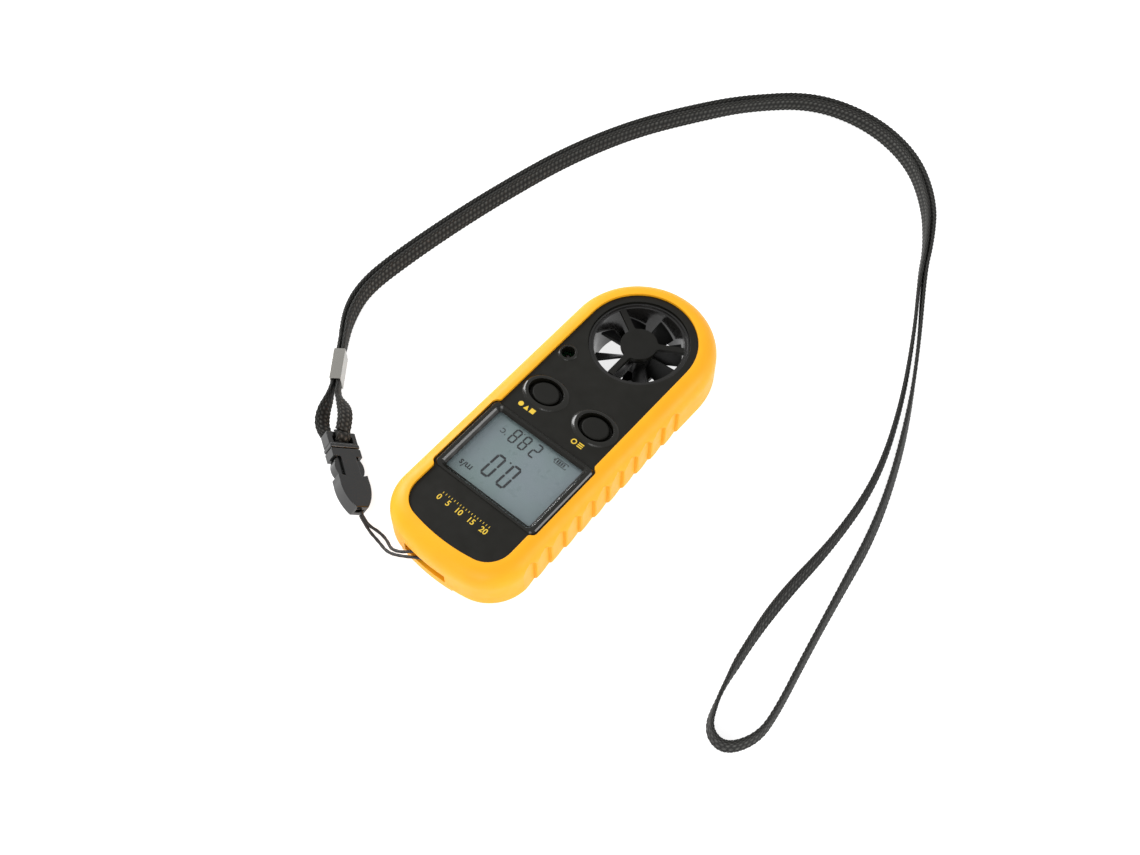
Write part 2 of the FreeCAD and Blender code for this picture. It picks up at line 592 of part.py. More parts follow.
def spider(base, boss_above):
    """Three-armed carrier: flat hub with a boss for the bearing, on the side of the rotor."""
    top = base + SPIDER_ARM_DEPTH
    hub = cylinder(SPIDER_HUB_RADIUS, (base, top), 0, FAN_Y)
    boss = (base, top + BOSS_LENGTH) if boss_above else (base - BOSS_LENGTH, top)
    arms = []
    for index in range(SPIDER_ARM_COUNT):
        half = SPIDER_ARM_WIDTH / 2
        arm = box((0, DUCT_BORE + OVERCUT), (FAN_Y - half, FAN_Y + half), (base, top))
        arm.rotate(V(0, FAN_Y, 0), UP, SPIDER_ARM_ANGLE + index * 360.0 / SPIDER_ARM_COUNT)
        arms.append(arm)
    solid = hub.fuse(arms).removeSplitter()
    corners = []
    for edge in solid.Edges:
        reach = math.hypot(edge.CenterOfMass.x, edge.CenterOfMass.y - FAN_Y)
        if abs(edge.tangentAt(edge.FirstParameter).z) > UPRIGHT and abs(reach - SPIDER_HUB_RADIUS) < FIT_GAP:
            corners.append(edge)
    solid = solid.makeFillet(SPIDER_FILLET, corners)
    solid = solid.common(cylinder(DUCT_BORE - AXLE_CLEARANCE, (0, BODY_HEIGHT), 0, FAN_Y))
    solid = solid.fuse(cylinder(BEARING_RADIUS + BEARING_SLEEVE, boss, 0, FAN_Y))
    seat = bearing_z(base, boss_above)
    return solid.cut(cylinder(BEARING_RADIUS, seat, 0, FAN_Y)).removeSplitter()


def bearing_z(base, boss_above):
    """The bearing sits flush with the boss, at the end nearest the rotor."""
    if boss_above:
        end = base + SPIDER_ARM_DEPTH + BOSS_LENGTH
        return end - BEARING_LENGTH, end
    end = base - BOSS_LENGTH
    return end, end + BEARING_LENGTH


def bearing(base, boss_above):
    return ring(BEARING_RADIUS, AXLE_RADIUS + AXLE_CLEARANCE, bearing_z(base, boss_above), 0, FAN_Y)


def blade_section(radius, pitch, chord):
    """Flat blade section standing across the wind at one radius."""
    lean = math.radians(pitch)
    along = V(0, math.cos(lean), math.sin(lean)) * (chord / 2)
    across = V(0, -math.sin(lean), math.cos(lean)) * (BLADE_THICKNESS / 2)
    centre = V(radius, 0, (ROTOR_Z[0] + ROTOR_Z[1]) / 2)
    near_side = [centre + along + across, centre - along + across]
    far_side = [centre - along - across, centre + along - across]
    return Part.makePolygon(near_side + far_side + near_side[:1])


def rotor():
    """Hub with flat twisted blades; open underneath for the magnet."""
    tip = DUCT_BORE - ROTOR_TIP_GAP
    low, high = ROTOR_Z
    blade_height = high - low - 2 * BLADE_MARGIN
    root_chord = blade_height / math.sin(math.radians(BLADE_ROOT_PITCH)) * BLADE_ROOT_SHARE
    tip_chord = blade_height / math.sin(math.radians(BLADE_TIP_PITCH)) * BLADE_TIP_SHARE
    root_radius = ROTOR_HUB_RADIUS - BLADE_THICKNESS
    blade = Part.makeLoft([
        blade_section(root_radius, BLADE_ROOT_PITCH, root_chord),
        blade_section(tip + OVERCUT, BLADE_TIP_PITCH, tip_chord)], True, True)
    blade = blade.common(cylinder(tip, ROTOR_Z))
    blades = []
    for index in range(BLADE_COUNT):
        copy = blade.copy()
        copy.rotate(V(0, 0, 0), UP, BLADE_PHASE + index * 360.0 / BLADE_COUNT)
        blades.append(copy)
    solid = cylinder(ROTOR_HUB_RADIUS, ROTOR_Z).fuse(blades)
    solid = solid.cut([
        cylinder(MAGNET_RADIUS + MAGNET_GAP, (low - OVERCUT, low + MAGNET_LENGTH)),
        cylinder(AXLE_RADIUS, (low - OVERCUT, high + OVERCUT)),
    ])
    solid.translate(V(0, FAN_Y, 0))
    return solid


def rotor_magnet():
    return ring(MAGNET_RADIUS, AXLE_RADIUS, (ROTOR_Z[0], ROTOR_Z[0] + MAGNET_LENGTH), 0, FAN_Y)


def rotor_axle():
    return cylinder(AXLE_RADIUS, AXLE_Z, 0, FAN_Y)


def pickup_sensor():
    """Magnetic pickup standing on the board, close to the duct."""
    width, depth, height = PICKUP_SIZE
    edge = FAN_Y - DUCT_OUTSIDE - PICKUP_GAP
    return box((-width / 2, width / 2), (edge - depth, edge), (BOARD_Z[1], BOARD_Z[1] + height))


def battery_holder():
    inside = CELL_RADIUS + HOLDER_GAP
    outside = inside + HOLDER_RING
    wall = ring(outside, inside, (CELL_Z + CELL_THICKNESS / 3, BOARD_Z[0]), 0, BATTERY_Y)
    web = ring(outside, HOLDER_HOLE, (CELL_Z + CELL_THICKNESS + HOLDER_GAP, BOARD_Z[0]), 0, BATTERY_Y)
    half = CONTACT_HALF_WIDTH + HOLDER_GAP
    slot_y = (BATTERY_Y - CELL_RADIUS - 3 * HOLDER_GAP, BATTERY_Y - CELL_RADIUS + 3 * HOLDER_GAP)
    return wall.fuse(web).cut(box((-half, half), slot_y, (0, BOARD_Z[0]))).removeSplitter()


def coin_cell():
    top = CELL_Z + CELL_THICKNESS
    can = cylinder(CELL_RADIUS, (CELL_Z, top - CELL_CAP_HEIGHT), 0, BATTERY_Y)
    can = round_level(can, CELL_Z, CELL_CAP_HEIGHT - FIT_GAP)
    cap = cylinder(CELL_RADIUS - CELL_RIM, (CELL_Z, top), 0, BATTERY_Y)
    return can.fuse(round_level(cap, top, CELL_CAP_HEIGHT / 2))


def side_contact():
    """Upright strip that presses on the cell's rim."""
    y = BATTERY_Y - CELL_RADIUS - CONTACT_GAP
    half = CONTACT_HALF_WIDTH
    return box((-half, half), (y - CONTACT_THICKNESS, y), (CELL_Z + CELL_CAP_HEIGHT, BOARD_Z[0]))


def end_contact():
    """Dished spring that presses on the cell's flat end."""
    top = BOARD_Z[0]
    plate_foot = top - CONTACT_THICKNESS
    spread = plate_foot - CELL_Z - CELL_THICKNESS - CONTACT_GAP
    plate = cylinder(END_CONTACT_RADIUS, (plate_foot, top), 0, BATTERY_Y)
    dish = Part.makeCone(spread, 2 * spread, spread, V(0, BATTERY_Y, plate_foot - spread))
    return plate.fuse(dish).removeSplitter()


def battery_cover():
    """Bayonet cover: disc with a coin slot, a short skirt and three lugs."""
    low = COVER_Z[0]
    inner = COVER_RADIUS - COVER_SKIRT
    lug_height = (FLOOR + RUN_GAP, FLOOR + RUN_GAP + LUG_THICKNESS)
    disc = cylinder(COVER_RADIUS, COVER_Z, 0, BATTERY_Y)
    skirt = ring(COVER_RADIUS, inner, (low, lug_height[1]), 0, BATTERY_Y)
    pad = cylinder(COVER_PAD_RADIUS, (low, CELL_Z - RUN_GAP), 0, BATTERY_Y)
    core = cylinder(inner, lug_height, 0, BATTERY_Y)
    lugs = [lug.cut(core) for lug in lug_sectors(lug_height, COVER_RADIUS + LUG_REACH, 0.0, LUG_ANGLE)]
    length, width, depth = COIN_SLOT
    slot_x = (-length / 2, length / 2)
    slot_y = (BATTERY_Y - width / 2, BATTERY_Y + width / 2)
    coin_slot = rounded_box(slot_x, slot_y, (low - OVERCUT, low + depth), width / 2 - FIT_GAP)
    return disc.fuse([skirt, pad] + lugs).cut(coin_slot).removeSplitter()


def case_screws():
    screws = []
    long_half, thin_half = CROSS_HALF
    head_z = (FLOOR / 2 - CASE_HEAD_HEIGHT, FLOOR / 2)
    recess_z = (0, head_z[0] + CROSS_DEPTH)
    shank_z = (FLOOR / 2, PANEL_UNDER - BORE_ROOF - SCREW_SPARE)
    for x, y in CASE_SCREWS:
        head = cylinder(2 * CASE_SCREW_RADIUS, head_z, x, y)
        shank = cylinder(CASE_SCREW_RADIUS - FIT_GAP, shank_z, x, y)
        cross = box((x - long_half, x + long_half), (y - thin_half, y + thin_half), recess_z)
        cross = cross.fuse(box((x - thin_half, x + thin_half), (y - long_half, y + long_half), recess_z))
        screws.append(head.fuse(shank).cut(cross))
    return Part.makeCompound(screws)


def board_screws():
    screws = []
    for x, y in BOARD_SCREWS:
        head = cylinder(2 * BOARD_SCREW_RADIUS, (BOARD_Z[0] - BOARD_HEAD_HEIGHT, BOARD_Z[0]), x, y)
        tip = PANEL_UNDER - BORE_ROOF - SCREW_SPARE / 2
        screws.append(head.fuse(cylinder(BOARD_SCREW_RADIUS - FIT_GAP, (BOARD_Z[0], tip), x, y)))
    return Part.makeCompound(screws)


def arc_corners(points):
    """For each inner point of a route: where its arc starts, its middle, its end and its radius."""
    corners = []
    for before, point, after in zip(points, points[1:], points[2:]):
        back = (before - point).normalize()
        ahead = (after - point).normalize()
        half_turn = (math.pi - back.getAngle(ahead)) / 2
        run = min((before - point).Length, (after - point).Length)
        radius = ARC_SHARE * run / math.tan(half_turn)
        inward = (back + ahead).normalize()
        middle = point + inward * (radius / math.cos(half_turn) - radius)
        corners.append((point + back * ARC_SHARE * run, middle, point + ahead * ARC_SHARE * run, radius))
    return corners


def route_wire(points):
    """Straight runs joined by tangent arcs."""
    edges = []
    start = points[0]
    for enter, middle, leave, _ in arc_corners(points):
        edges.append(Part.LineSegment(start, enter).toShape())
        edges.append(Part.Arc(enter, middle, leave).toShape())
        start = leave
    edges.append(Part.LineSegment(start, points[-1]).toShape())
    return Part.Wire(edges)


def report_route(name, wire, points, section, volume):
    radii = ", ".join("%.1f" % corner[3] for corner in arc_corners(points))
    print("%s length %.1f mm, radii %s" % (name, wire.Length, radii))
    print("%s volume %.2f, section x length %.2f" % (name, volume, section * wire.Length))


def lanyard_string():
    points = [V(*point) for point in STRING_ROUTE]
    wire = route_wire(points)
    radius = STRING_DIAMETER / 2
    direction = points[1] - points[0]
    section = Part.Wire(Part.Circle(points[0], direction, radius).toShape())
    tube = wire.makePipeShell([section], True, False)
    report_route("lanyard_string", wire, points, math.pi * radius ** 2, tube.Volume)
    return tube


def side_edges(points, offset):
    """One long side of the strap: the route moved sideways in plan."""
    edges = []
    start = None
    previous = points[0]
    for (enter, middle, leave, _), point, after in zip(arc_corners(points), points[1:], points[2:]):
        normal_in = UP.cross((point - previous).normalize()) * offset
        normal_out = UP.cross((after - point).normalize()) * offset
        bend = (normal_in + normal_out).normalize() * abs(offset)
        first = enter + normal_in
        last = leave + normal_out
        start = points[0] + normal_in if start is None else start
        edges.append(Part.LineSegment(start, first).toShape())
        edges.append(Part.Arc(first, middle + bend, last).toShape())
        start = last
        previous = point
        normal = normal_out
    edges.append(Part.LineSegment(start, points[-1] + normal).toShape())
    return edges


def neck_strap():
    """Flat woven strap standing on its edge, from the buckle round the loop and back."""
    points = [V(x, y, STRAP_BASE) for x, y in STRAP_ROUTE]
    left = side_edges(points, STRAP_THICKNESS / 2)
    right = side_edges(points, -STRAP_THICKNESS / 2)
    ends = [
        Part.LineSegment(left[0].Vertexes[0].Point, right[0].Vertexes[0].Point).toShape(),
        Part.LineSegment(left[-1].Vertexes[1].Point, right[-1].Vertexes[1].Point).toShape(),
    ]
    border = Part.Wire(Part.__sortEdges__(left + right + ends))
    strap = Part.Face(border).extrude(V(0, 0, STRAP_WIDTH))
    report_route("neck_strap", route_wire(points), points, STRAP_WIDTH * STRAP_THICKNESS, strap.Volume)
    return strap


def strap_crimp():
    """Bent metal sleeve that clamps the two strands together."""
    height = (FIT_GAP / 2, STRAP_BASE + STRAP_WIDTH + CRIMP_WALL + FIT_GAP)
    thick = CRIMP_INSIDE / 2
    half = CRIMP_LENGTH / 2
    outside = rounded_box((-half, half), (-thick - CRIMP_WALL, thick + CRIMP_WALL), height, CRIMP_ROUND)
    through = (-half - OVERCUT, half + OVERCUT)
    inside = box(through, (-thick, thick), (STRAP_BASE - FIT_GAP / 2, height[1] - CRIMP_WALL))
    sleeve = outside.cut(inside)
    sleeve.rotate(V(0, 0, 0), UP, CRIMP_TURN)
    sleeve.translate(V(CRIMP_CENTRE[0], CRIMP_CENTRE[1], 0))
    return sleeve


def place_buckle(solid):
    solid.rotate(V(0, 0, 0), V(1, 0, 0), -BUCKLE_ROLL)
    solid.rotate(V(0, 0, 0), UP, BUCKLE_TURN)
    solid.translate(V(*BUCKLE_ORIGIN))
    return solid


def plate(corners, z_range):
    """Flat piece from its plan corners."""
    low, high = z_range
    points = [V(x, y, low) for x, y in corners]
    return Part.Face(Part.makePolygon(points + points[:1])).extrude(V(0, 0, high - low))


def buckle_plug():
    """Male half: frame for the strap, shoulder and centre guide."""
    half_width = BUCKLE_WIDTH / 2
    half_thick = BUCKLE_THICKNESS / 2
    slim = half_thick - FRAME_THINNER
    neck = FRAME_LENGTH - SHOULDER_LENGTH
    frame = box((0, neck), (-half_width, half_width), (-slim, slim))
    frame = frame.makeFillet(BUCKLE_ROUND, frame.Edges)
    shoulder = box((neck, FRAME_LENGTH), (-half_width, half_width), (-half_thick, half_thick))
    shoulder = shoulder.makeFillet(BUCKLE_ROUND, shoulder.Edges)
    link_x = (neck - 2 * BUCKLE_ROUND, neck + 2 * BUCKLE_ROUND)
    link_half = (half_width - SOCKET_WALL, slim - BUCKLE_ROUND)
    link = box(link_x, (-link_half[0], link_half[0]), (-link_half[1], link_half[1]))
    root, tip = GUIDE_HALF
    end = FRAME_LENGTH + GUIDE_LENGTH
    start = FRAME_LENGTH - BUCKLE_ROUND
    guide = plate([(start, -root), (end, -tip), (end, tip), (start, root)], (-root, root))
    slot = box(FRAME_SLOT_X, (-FRAME_SLOT_HALF, FRAME_SLOT_HALF), (-half_thick, half_thick))
    return place_buckle(frame.fuse([shoulder, link, guide]).cut(slot).removeSplitter())


def buckle_arm(side):
    """Springy prong: straight stem from the shoulder, then a leaf that bulges out of the side window."""
    inner = BUCKLE_WIDTH / 2 - SOCKET_WALL - RUN_GAP
    start = SIDE_WINDOW_X[0] + RUN_GAP
    end = SIDE_WINDOW_X[1] - RUN_GAP
    tab = BUCKLE_WIDTH / 2 - FIT_GAP
    stem_inner = inner - ARM_STEM
    places = [
        (FRAME_LENGTH, stem_inner), (FRAME_LENGTH, inner), (start, inner), (start, inner + ARM_TAB_TIP / 2),
        (end, inner), (end, stem_inner + NOTCH_SLANT / 2), (start + ARM_STEM, stem_inner),
    ]
    corners = [V(x, side * y, -ARM_THICKNESS / 2) for x, y in places]
    belly = V((start + end) / 2, side * (tab + FIT_GAP), -ARM_THICKNESS / 2)
    edges = []
    for index, (first, second) in enumerate(zip(corners, corners[1:] + corners[:1])):
        if index == 3:
            edges.append(Part.Arc(first, belly, second).toShape())
        else:
            edges.append(Part.LineSegment(first, second).toShape())
    return Part.Face(Part.Wire(edges)).extrude(V(0, 0, ARM_THICKNESS))


def buckle_arms():
    return place_buckle(Part.makeCompound([buckle_arm(side) for side in (-1, 1)]))


def buckle_socket():
    """Female half: hollow body with side windows, notched wide faces and an ogive to the string's tip."""
    half_width = BUCKLE_WIDTH / 2
    half_thick = BUCKLE_THICKNESS / 2
    mouth = FRAME_LENGTH + RUN_GAP
    low = -half_thick
    left = [V(mouth, half_width, low), V(SOCKET_SHOULDER_X, half_width, low), V(*SOCKET_BELLY, low),
            V(BUCKLE_LENGTH, TIP_HALF_WIDTH, low)]
    flipped = [V(point.x, -point.y, low) for point in left]
    outline_edges = [
        Part.LineSegment(flipped[0], left[0]).toShape(),
        Part.LineSegment(left[0], left[1]).toShape(),
        Part.Arc(left[1], left[2], left[3]).toShape(),
        Part.LineSegment(left[3], flipped[3]).toShape(),
        Part.Arc(flipped[3], flipped[2], flipped[1]).toShape(),
        Part.LineSegment(flipped[1], flipped[0]).toShape(),
    ]
    body = Part.Face(Part.Wire(outline_edges)).extrude(V(0, 0, BUCKLE_THICKNESS))
    body = body.makeFillet(BUCKLE_ROUND, body.Edges)
    inside = half_width - SOCKET_WALL
    clear = half_thick - SOCKET_FACE
    cavity = box((mouth - OVERCUT, mouth + SOCKET_DEPTH), (-inside, inside), (-clear, clear))
    cuts = [cavity]
    start, end = SIDE_WINDOW_X
    for side in (-1, 1):
        notch = [(start, BUCKLE_WIDTH), (start, NOTCH_INNER), (end, NOTCH_INNER + FIT_GAP),
                 (end - NOTCH_SLANT / 2, half_width), (end, BUCKLE_WIDTH)]
        cuts.append(plate([(x, side * y) for x, y in notch], (-BUCKLE_THICKNESS, BUCKLE_THICKNESS)))
    depth, hole_half, hole_high = STRING_HOLE
    hole_x = (BUCKLE_LENGTH - depth, BUCKLE_LENGTH + OVERCUT)
    cuts.append(box(hole_x, (-hole_half, hole_half), (-hole_high, hole_high)))
    return place_buckle(body.cut(cuts).removeSplitter())


PARTS = {
    "front_shell": front_shell,
    "back_shell": back_shell,
    "front_panel": front_panel,
    "display_window": display_window,
    "display_cell": display_cell,
    "display_holder": display_holder,
    "zebra_connectors": zebra_connectors,
    "circuit_board": circuit_board,
    "board_chip": board_chip,
    "key_switches": key_switches,
    "mode_key": lambda: key(-KEY_X),
    "set_key": lambda: key(KEY_X),
    "thermistor": thermistor,
    "pickup_sensor": pickup_sensor,
    "fan_duct": fan_duct,
    "front_spider": lambda: spider(FRONT_SPIDER_Z, False),
    "rear_spider": lambda: spider(REAR_SPIDER_Z, True),
    "front_bearing": lambda: bearing(FRONT_SPIDER_Z, False),
    "rear_bearing": lambda: bearing(REAR_SPIDER_Z, True),
    "rotor": rotor,
    "rotor_magnet": rotor_magnet,
    "rotor_axle": rotor_axle,
    "battery_holder": battery_holder,
    "side_contact": side_contact,
    "end_contact": end_contact,
    "coin_cell": coin_cell,
    "battery_cover": battery_cover,
    "case_screws": case_screws,
    "board_screws": board_screws,
    "lanyard_string": lanyard_string,
    "buckle_socket": buckle_socket,
    "buckle_plug": buckle_plug,
    "buckle_arms": buckle_arms,
    "strap_crimp": strap_crimp,
    "neck_strap": neck_strap,
}

os.makedirs("parts", exist_ok=True)
for node, build in PARTS.items():
    shape = build()
    solids = shape.Solids
    print("%-18s solids %d valid %s volume %.1f" % (node, len(solids), shape.isValid(), shape.Volume))
    shape.exportStep("parts/%s.step" % node)
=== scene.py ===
"""Handheld weather meter on a neck lanyard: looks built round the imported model, in metres."""
import math

import bmesh
import bpy
from mathutils import Matrix, Vector


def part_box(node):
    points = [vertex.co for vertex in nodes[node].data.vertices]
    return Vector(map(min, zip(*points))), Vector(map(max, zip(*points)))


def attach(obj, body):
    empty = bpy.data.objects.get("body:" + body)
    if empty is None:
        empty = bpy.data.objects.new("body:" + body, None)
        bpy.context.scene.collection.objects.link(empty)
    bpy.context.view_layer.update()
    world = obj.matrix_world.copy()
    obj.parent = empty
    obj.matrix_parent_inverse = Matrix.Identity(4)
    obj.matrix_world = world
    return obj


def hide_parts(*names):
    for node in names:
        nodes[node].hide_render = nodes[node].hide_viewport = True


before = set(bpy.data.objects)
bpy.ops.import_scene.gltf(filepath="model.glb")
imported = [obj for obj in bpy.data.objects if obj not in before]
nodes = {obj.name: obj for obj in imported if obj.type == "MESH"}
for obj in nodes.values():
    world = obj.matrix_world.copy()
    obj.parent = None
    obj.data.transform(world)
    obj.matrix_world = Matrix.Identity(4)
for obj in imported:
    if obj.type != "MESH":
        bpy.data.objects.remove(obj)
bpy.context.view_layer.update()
MM = 0.001

# ---- Camera ----
# A high three-quarter view from beyond the lower right of the meter, level but for a hair's roll, with the
# whole of the strap's loop in frame.
CAMERA_PLACE = Vector((137.48, -157.54, 340.70)) * MM
YAW, PITCH, ROLL = (math.radians(angle) for angle in (-40.69, 57.82, -0.43))
camera_data = bpy.data.cameras.new("camera")
camera_data.sensor_width = 36.0
camera_data.lens = 45.54
camera_data.clip_start = 0.01
camera = bpy.data.objects.new("camera", camera_data)
bpy.context.scene.collection.objects.link(camera)
forward = Vector((math.sin(YAW) * math.cos(PITCH), math.cos(YAW) * math.cos(PITCH), -math.sin(PITCH)))
level_right = Vector((math.cos(YAW), -math.sin(YAW), 0))
level_up = level_right.cross(forward)
right = math.cos(ROLL) * level_right + math.sin(ROLL) * level_up
up = math.cos(ROLL) * level_up - math.sin(ROLL) * level_right
camera.matrix_world = Matrix.Translation(CAMERA_PLACE) @ Matrix((right, up, -forward)).transposed().to_4x4()
bpy.context.scene.camera = camera

# ---- Floor and light ----
# A plain pale light table for a floor, one large soft light from the left, weaker ones from the near end
# and the right, and an even pale surround.
floor_mesh = bpy.data.meshes.new("floor")
FLOOR_REACH = 4.0
FLOOR_LEVEL = -0.02 * MM
floor_mesh.from_pydata(
    [(-FLOOR_REACH, -FLOOR_REACH, FLOOR_LEVEL), (FLOOR_REACH, -FLOOR_REACH, FLOOR_LEVEL),
     (FLOOR_REACH, FLOOR_REACH, FLOOR_LEVEL), (-FLOOR_REACH, FLOOR_REACH, FLOOR_LEVEL)], [], [(0, 1, 2, 3)])
floor = bpy.data.objects.new("floor", floor_mesh)
bpy.context.scene.collection.objects.link(floor)
floor_paint = bpy.data.materials.new("floor_paper")
floor_paint.use_nodes = True
floor_shader = floor_paint.node_tree.nodes["Principled BSDF"]
floor_shader.inputs["Base Color"].default_value = (0.55, 0.55, 0.55, 1)
floor_shader.inputs["Roughness"].default_value = 0.9
floor_shader.inputs["Specular IOR Level"].default_value = 0.1
floor_shader.inputs["Emission Color"].default_value = (1.0, 1.0, 1.0, 1)
floor_shader.inputs["Emission Strength"].default_value = 0.78
floor_mesh.materials.append(floor_paint)

world = bpy.data.worlds.new("surround")
world.use_nodes = True
world.node_tree.nodes["Background"].inputs["Color"].default_value = (1.0, 1.0, 1.0, 1)
world.node_tree.nodes["Background"].inputs["Strength"].default_value = 0.62
bpy.context.scene.world = world
bpy.context.scene.view_settings.view_transform = "Standard"


def soft_light(name, place, size, power):
    """A square soft light aimed at the middle of the meter; power is in watts."""
    lamp = bpy.data.lights.new(name, "AREA")
    lamp.size = size
    lamp.energy = power
    holder = bpy.data.objects.new(name, lamp)
    bpy.context.scene.collection.objects.link(holder)
    holder.location = place
    holder.rotation_euler = Vector(place).to_track_quat("Z", "Y").to_euler()


soft_light("window_light", (-0.85, 0.1, 0.42), size=0.5, power=8.0)
soft_light("fill_light", (0.25, -0.85, 0.55), size=0.6, power=4.0)
soft_light("right_light", (0.8, 0.38, 0.31), size=0.4, power=3.0)


# ---- Case shells ----
# Two halves of orange moulded ABS with a soft satin grain, screwed together from the back. Grip scales
# run down both sides, and the lanyard slot is moulded across the lower end.
EDGE_SAMPLES = 4
GLOSS_BELOW = 0.05
GLOSS_ABOVE = 0.07


def linked(tree, kind, **inputs):
    """Add a shader node and set or link its inputs; spaces in names are written as underscores."""
    node = tree.nodes.new(kind)
    for name, value in inputs.items():
        socket = node.inputs[name.replace("_", " ")]
        if isinstance(value, bpy.types.NodeSocket):
            tree.links.new(value, socket)
        else:
            socket.default_value = value
    return node


def mottle(tree, place, low, high, size, detail=2.0):
    """A value that drifts between low and high in soft patches of about the given size in metres."""
    noise = linked(tree, "ShaderNodeTexNoise", Vector=place, Scale=1 / size, Detail=detail, Roughness=0.55)
    spread = linked(tree, "ShaderNodeMapRange", Value=noise.outputs["Fac"])
    spread.inputs["From Min"].default_value = 0.3
    spread.inputs["From Max"].default_value = 0.7
    spread.inputs["To Min"].default_value = low
    spread.inputs["To Max"].default_value = high
    return spread.outputs["Result"]


def tinted(tree, share, first, second):
    """Blend of two colours by a share."""
    blend = tree.nodes.new("ShaderNodeMix")
    blend.data_type = "RGBA"
    tree.links.new(share, blend.inputs[0])
    blend.inputs[6].default_value = (*first, 1)
    blend.inputs[7].default_value = (*second, 1)
    return blend.outputs[2]


def moulded(name, colour, shade, roughness, grain, depth, edge=0.1 * MM, drift=9 * MM, specular=0.5):
    """Moulded or cast finish: two close tones in soft patches, a fine grain and softened edges."""
    material = bpy.data.materials.new(name)
    material.use_nodes = True
    tree = material.node_tree
    shader = tree.nodes["Principled BSDF"]
    place = tree.nodes.new("ShaderNodeTexCoord").outputs["Object"]
    patches = mottle(tree, place, 0.0, 1.0, drift)
    tree.links.new(tinted(tree, patches, colour, shade), shader.inputs["Base Color"])
    gloss = mottle(tree, place, roughness - GLOSS_BELOW, roughness + GLOSS_ABOVE, drift / 3, 4.0)
    tree.links.new(gloss, shader.inputs["Roughness"])
    speck = linked(tree, "ShaderNodeTexNoise", Vector=place, Scale=1 / grain, Detail=3.0, Roughness=0.6)
    rounding = linked(tree, "ShaderNodeBevel", Radius=edge)
    rounding.samples = EDGE_SAMPLES
    bump = linked(tree, "ShaderNodeBump", Height=speck.outputs["Fac"], Distance=depth,
                  Normal=rounding.outputs["Normal"])
    tree.links.new(bump.outputs["Normal"], shader.inputs["Normal"])
    shader.inputs["Specular IOR Level"].default_value = specular
    return material


def finish(material, *names):
    """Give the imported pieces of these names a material."""
    for name in names:
        for slot in nodes[name].material_slots:
            slot.material = material


orange_abs = moulded(
    "orange_abs", (0.95, 0.43, 0.010), (0.92, 0.405, 0.009),
    roughness=0.45, grain=0.32 * MM, depth=0.012 * MM, edge=0.25 * MM, specular=0.3)
finish(orange_abs, "front_shell", "back_shell")


# ---- Circuit board ----
# Green glass-fibre board with traces under the lacquer, an epoxy drop over the bonded chip, two dome
# switches, a magnetic pickup and an air sensor bead, all soldered on.
def lacquered_board():
    """Board lacquer over crossing copper traces."""
    material = bpy.data.materials.new("board_lacquer")
    material.use_nodes = True
    tree = material.node_tree
    shader = tree.nodes["Principled BSDF"]
    place = tree.nodes.new("ShaderNodeTexCoord").outputs["Object"]
    traces = linked(tree, "ShaderNodeTexBrick", Vector=place, Scale=1 / (6 * MM), Mortar_Size=0.06,
                    Color1=(0.012, 0.11, 0.04, 1), Color2=(0.01, 0.09, 0.035, 1), Mortar=(0.05, 0.26, 0.1, 1))
    tree.links.new(traces.outputs["Color"], shader.inputs["Base Color"])
    bump = linked(tree, "ShaderNodeBump", Height=traces.outputs["Fac"], Distance=0.03 * MM)
    tree.links.new(bump.outputs["Normal"], shader.inputs["Normal"])
    tree.links.new(mottle(tree, place, 0.25, 0.4, 2 * MM), shader.inputs["Roughness"])
    return material


finish(lacquered_board(), "circuit_board")
epoxy_drop = moulded(
    "epoxy_drop", (0.012, 0.012, 0.013), (0.02, 0.02, 0.02), roughness=0.22, grain=1.2 * MM, depth=0.03 * MM)
finish(epoxy_drop, "board_chip")
pickup_case = moulded(
    "pickup_case", (0.02, 0.02, 0.021), (0.03, 0.03, 0.03), roughness=0.5, grain=0.2 * MM, depth=0.01 * MM)
finish(pickup_case, "pickup_sensor")
sensor_glass = moulded(
    "sensor_glass", (0.014, 0.010, 0.008), (0.022, 0.014, 0.011), roughness=0.15, grain=0.5 * MM,
    depth=0.01 * MM)
finish(sensor_glass, "thermistor")
SCRATCH_SIZE = 1.6 * MM
METAL_EDGE = 0.08 * MM


def brushed_metal(name, colour, shade, roughness, stretch, turn=0.0, spread=0.1, depth=0.006 * MM):
    """Metal with fine scratches that run one way; stretch is how much finer they are across their run."""
    material = bpy.data.materials.new(name)
    material.use_nodes = True
    tree = material.node_tree
    shader = tree.nodes["Principled BSDF"]
    place = tree.nodes.new("ShaderNodeTexCoord").outputs["Object"]
    turned = linked(tree, "ShaderNodeMapping", Vector=place, Rotation=(0.0, 0.0, turn))
    drawn = linked(tree, "ShaderNodeMapping", Vector=turned.outputs["Vector"], Scale=(1.0, stretch, stretch))
    scratches = linked(
        tree, "ShaderNodeTexNoise", Vector=drawn.outputs["Vector"], Scale=1 / SCRATCH_SIZE, Detail=5.0)
    tree.links.new(tinted(tree, scratches.outputs["Fac"], colour, shade), shader.inputs["Base Color"])
    gloss = linked(tree, "ShaderNodeMapRange", Value=scratches.outputs["Fac"])
    gloss.inputs["To Min"].default_value = roughness - spread
    gloss.inputs["To Max"].default_value = roughness + spread
    tree.links.new(gloss.outputs["Result"], shader.inputs["Roughness"])
    rounding = linked(tree, "ShaderNodeBevel", Radius=METAL_EDGE)
    rounding.samples = EDGE_SAMPLES
    bump = linked(tree, "ShaderNodeBump", Height=scratches.outputs["Fac"], Distance=depth,
                  Normal=rounding.outputs["Normal"])
    tree.links.new(bump.outputs["Normal"], shader.inputs["Normal"])
    shader.inputs["Metallic"].default_value = 1.0
    return material


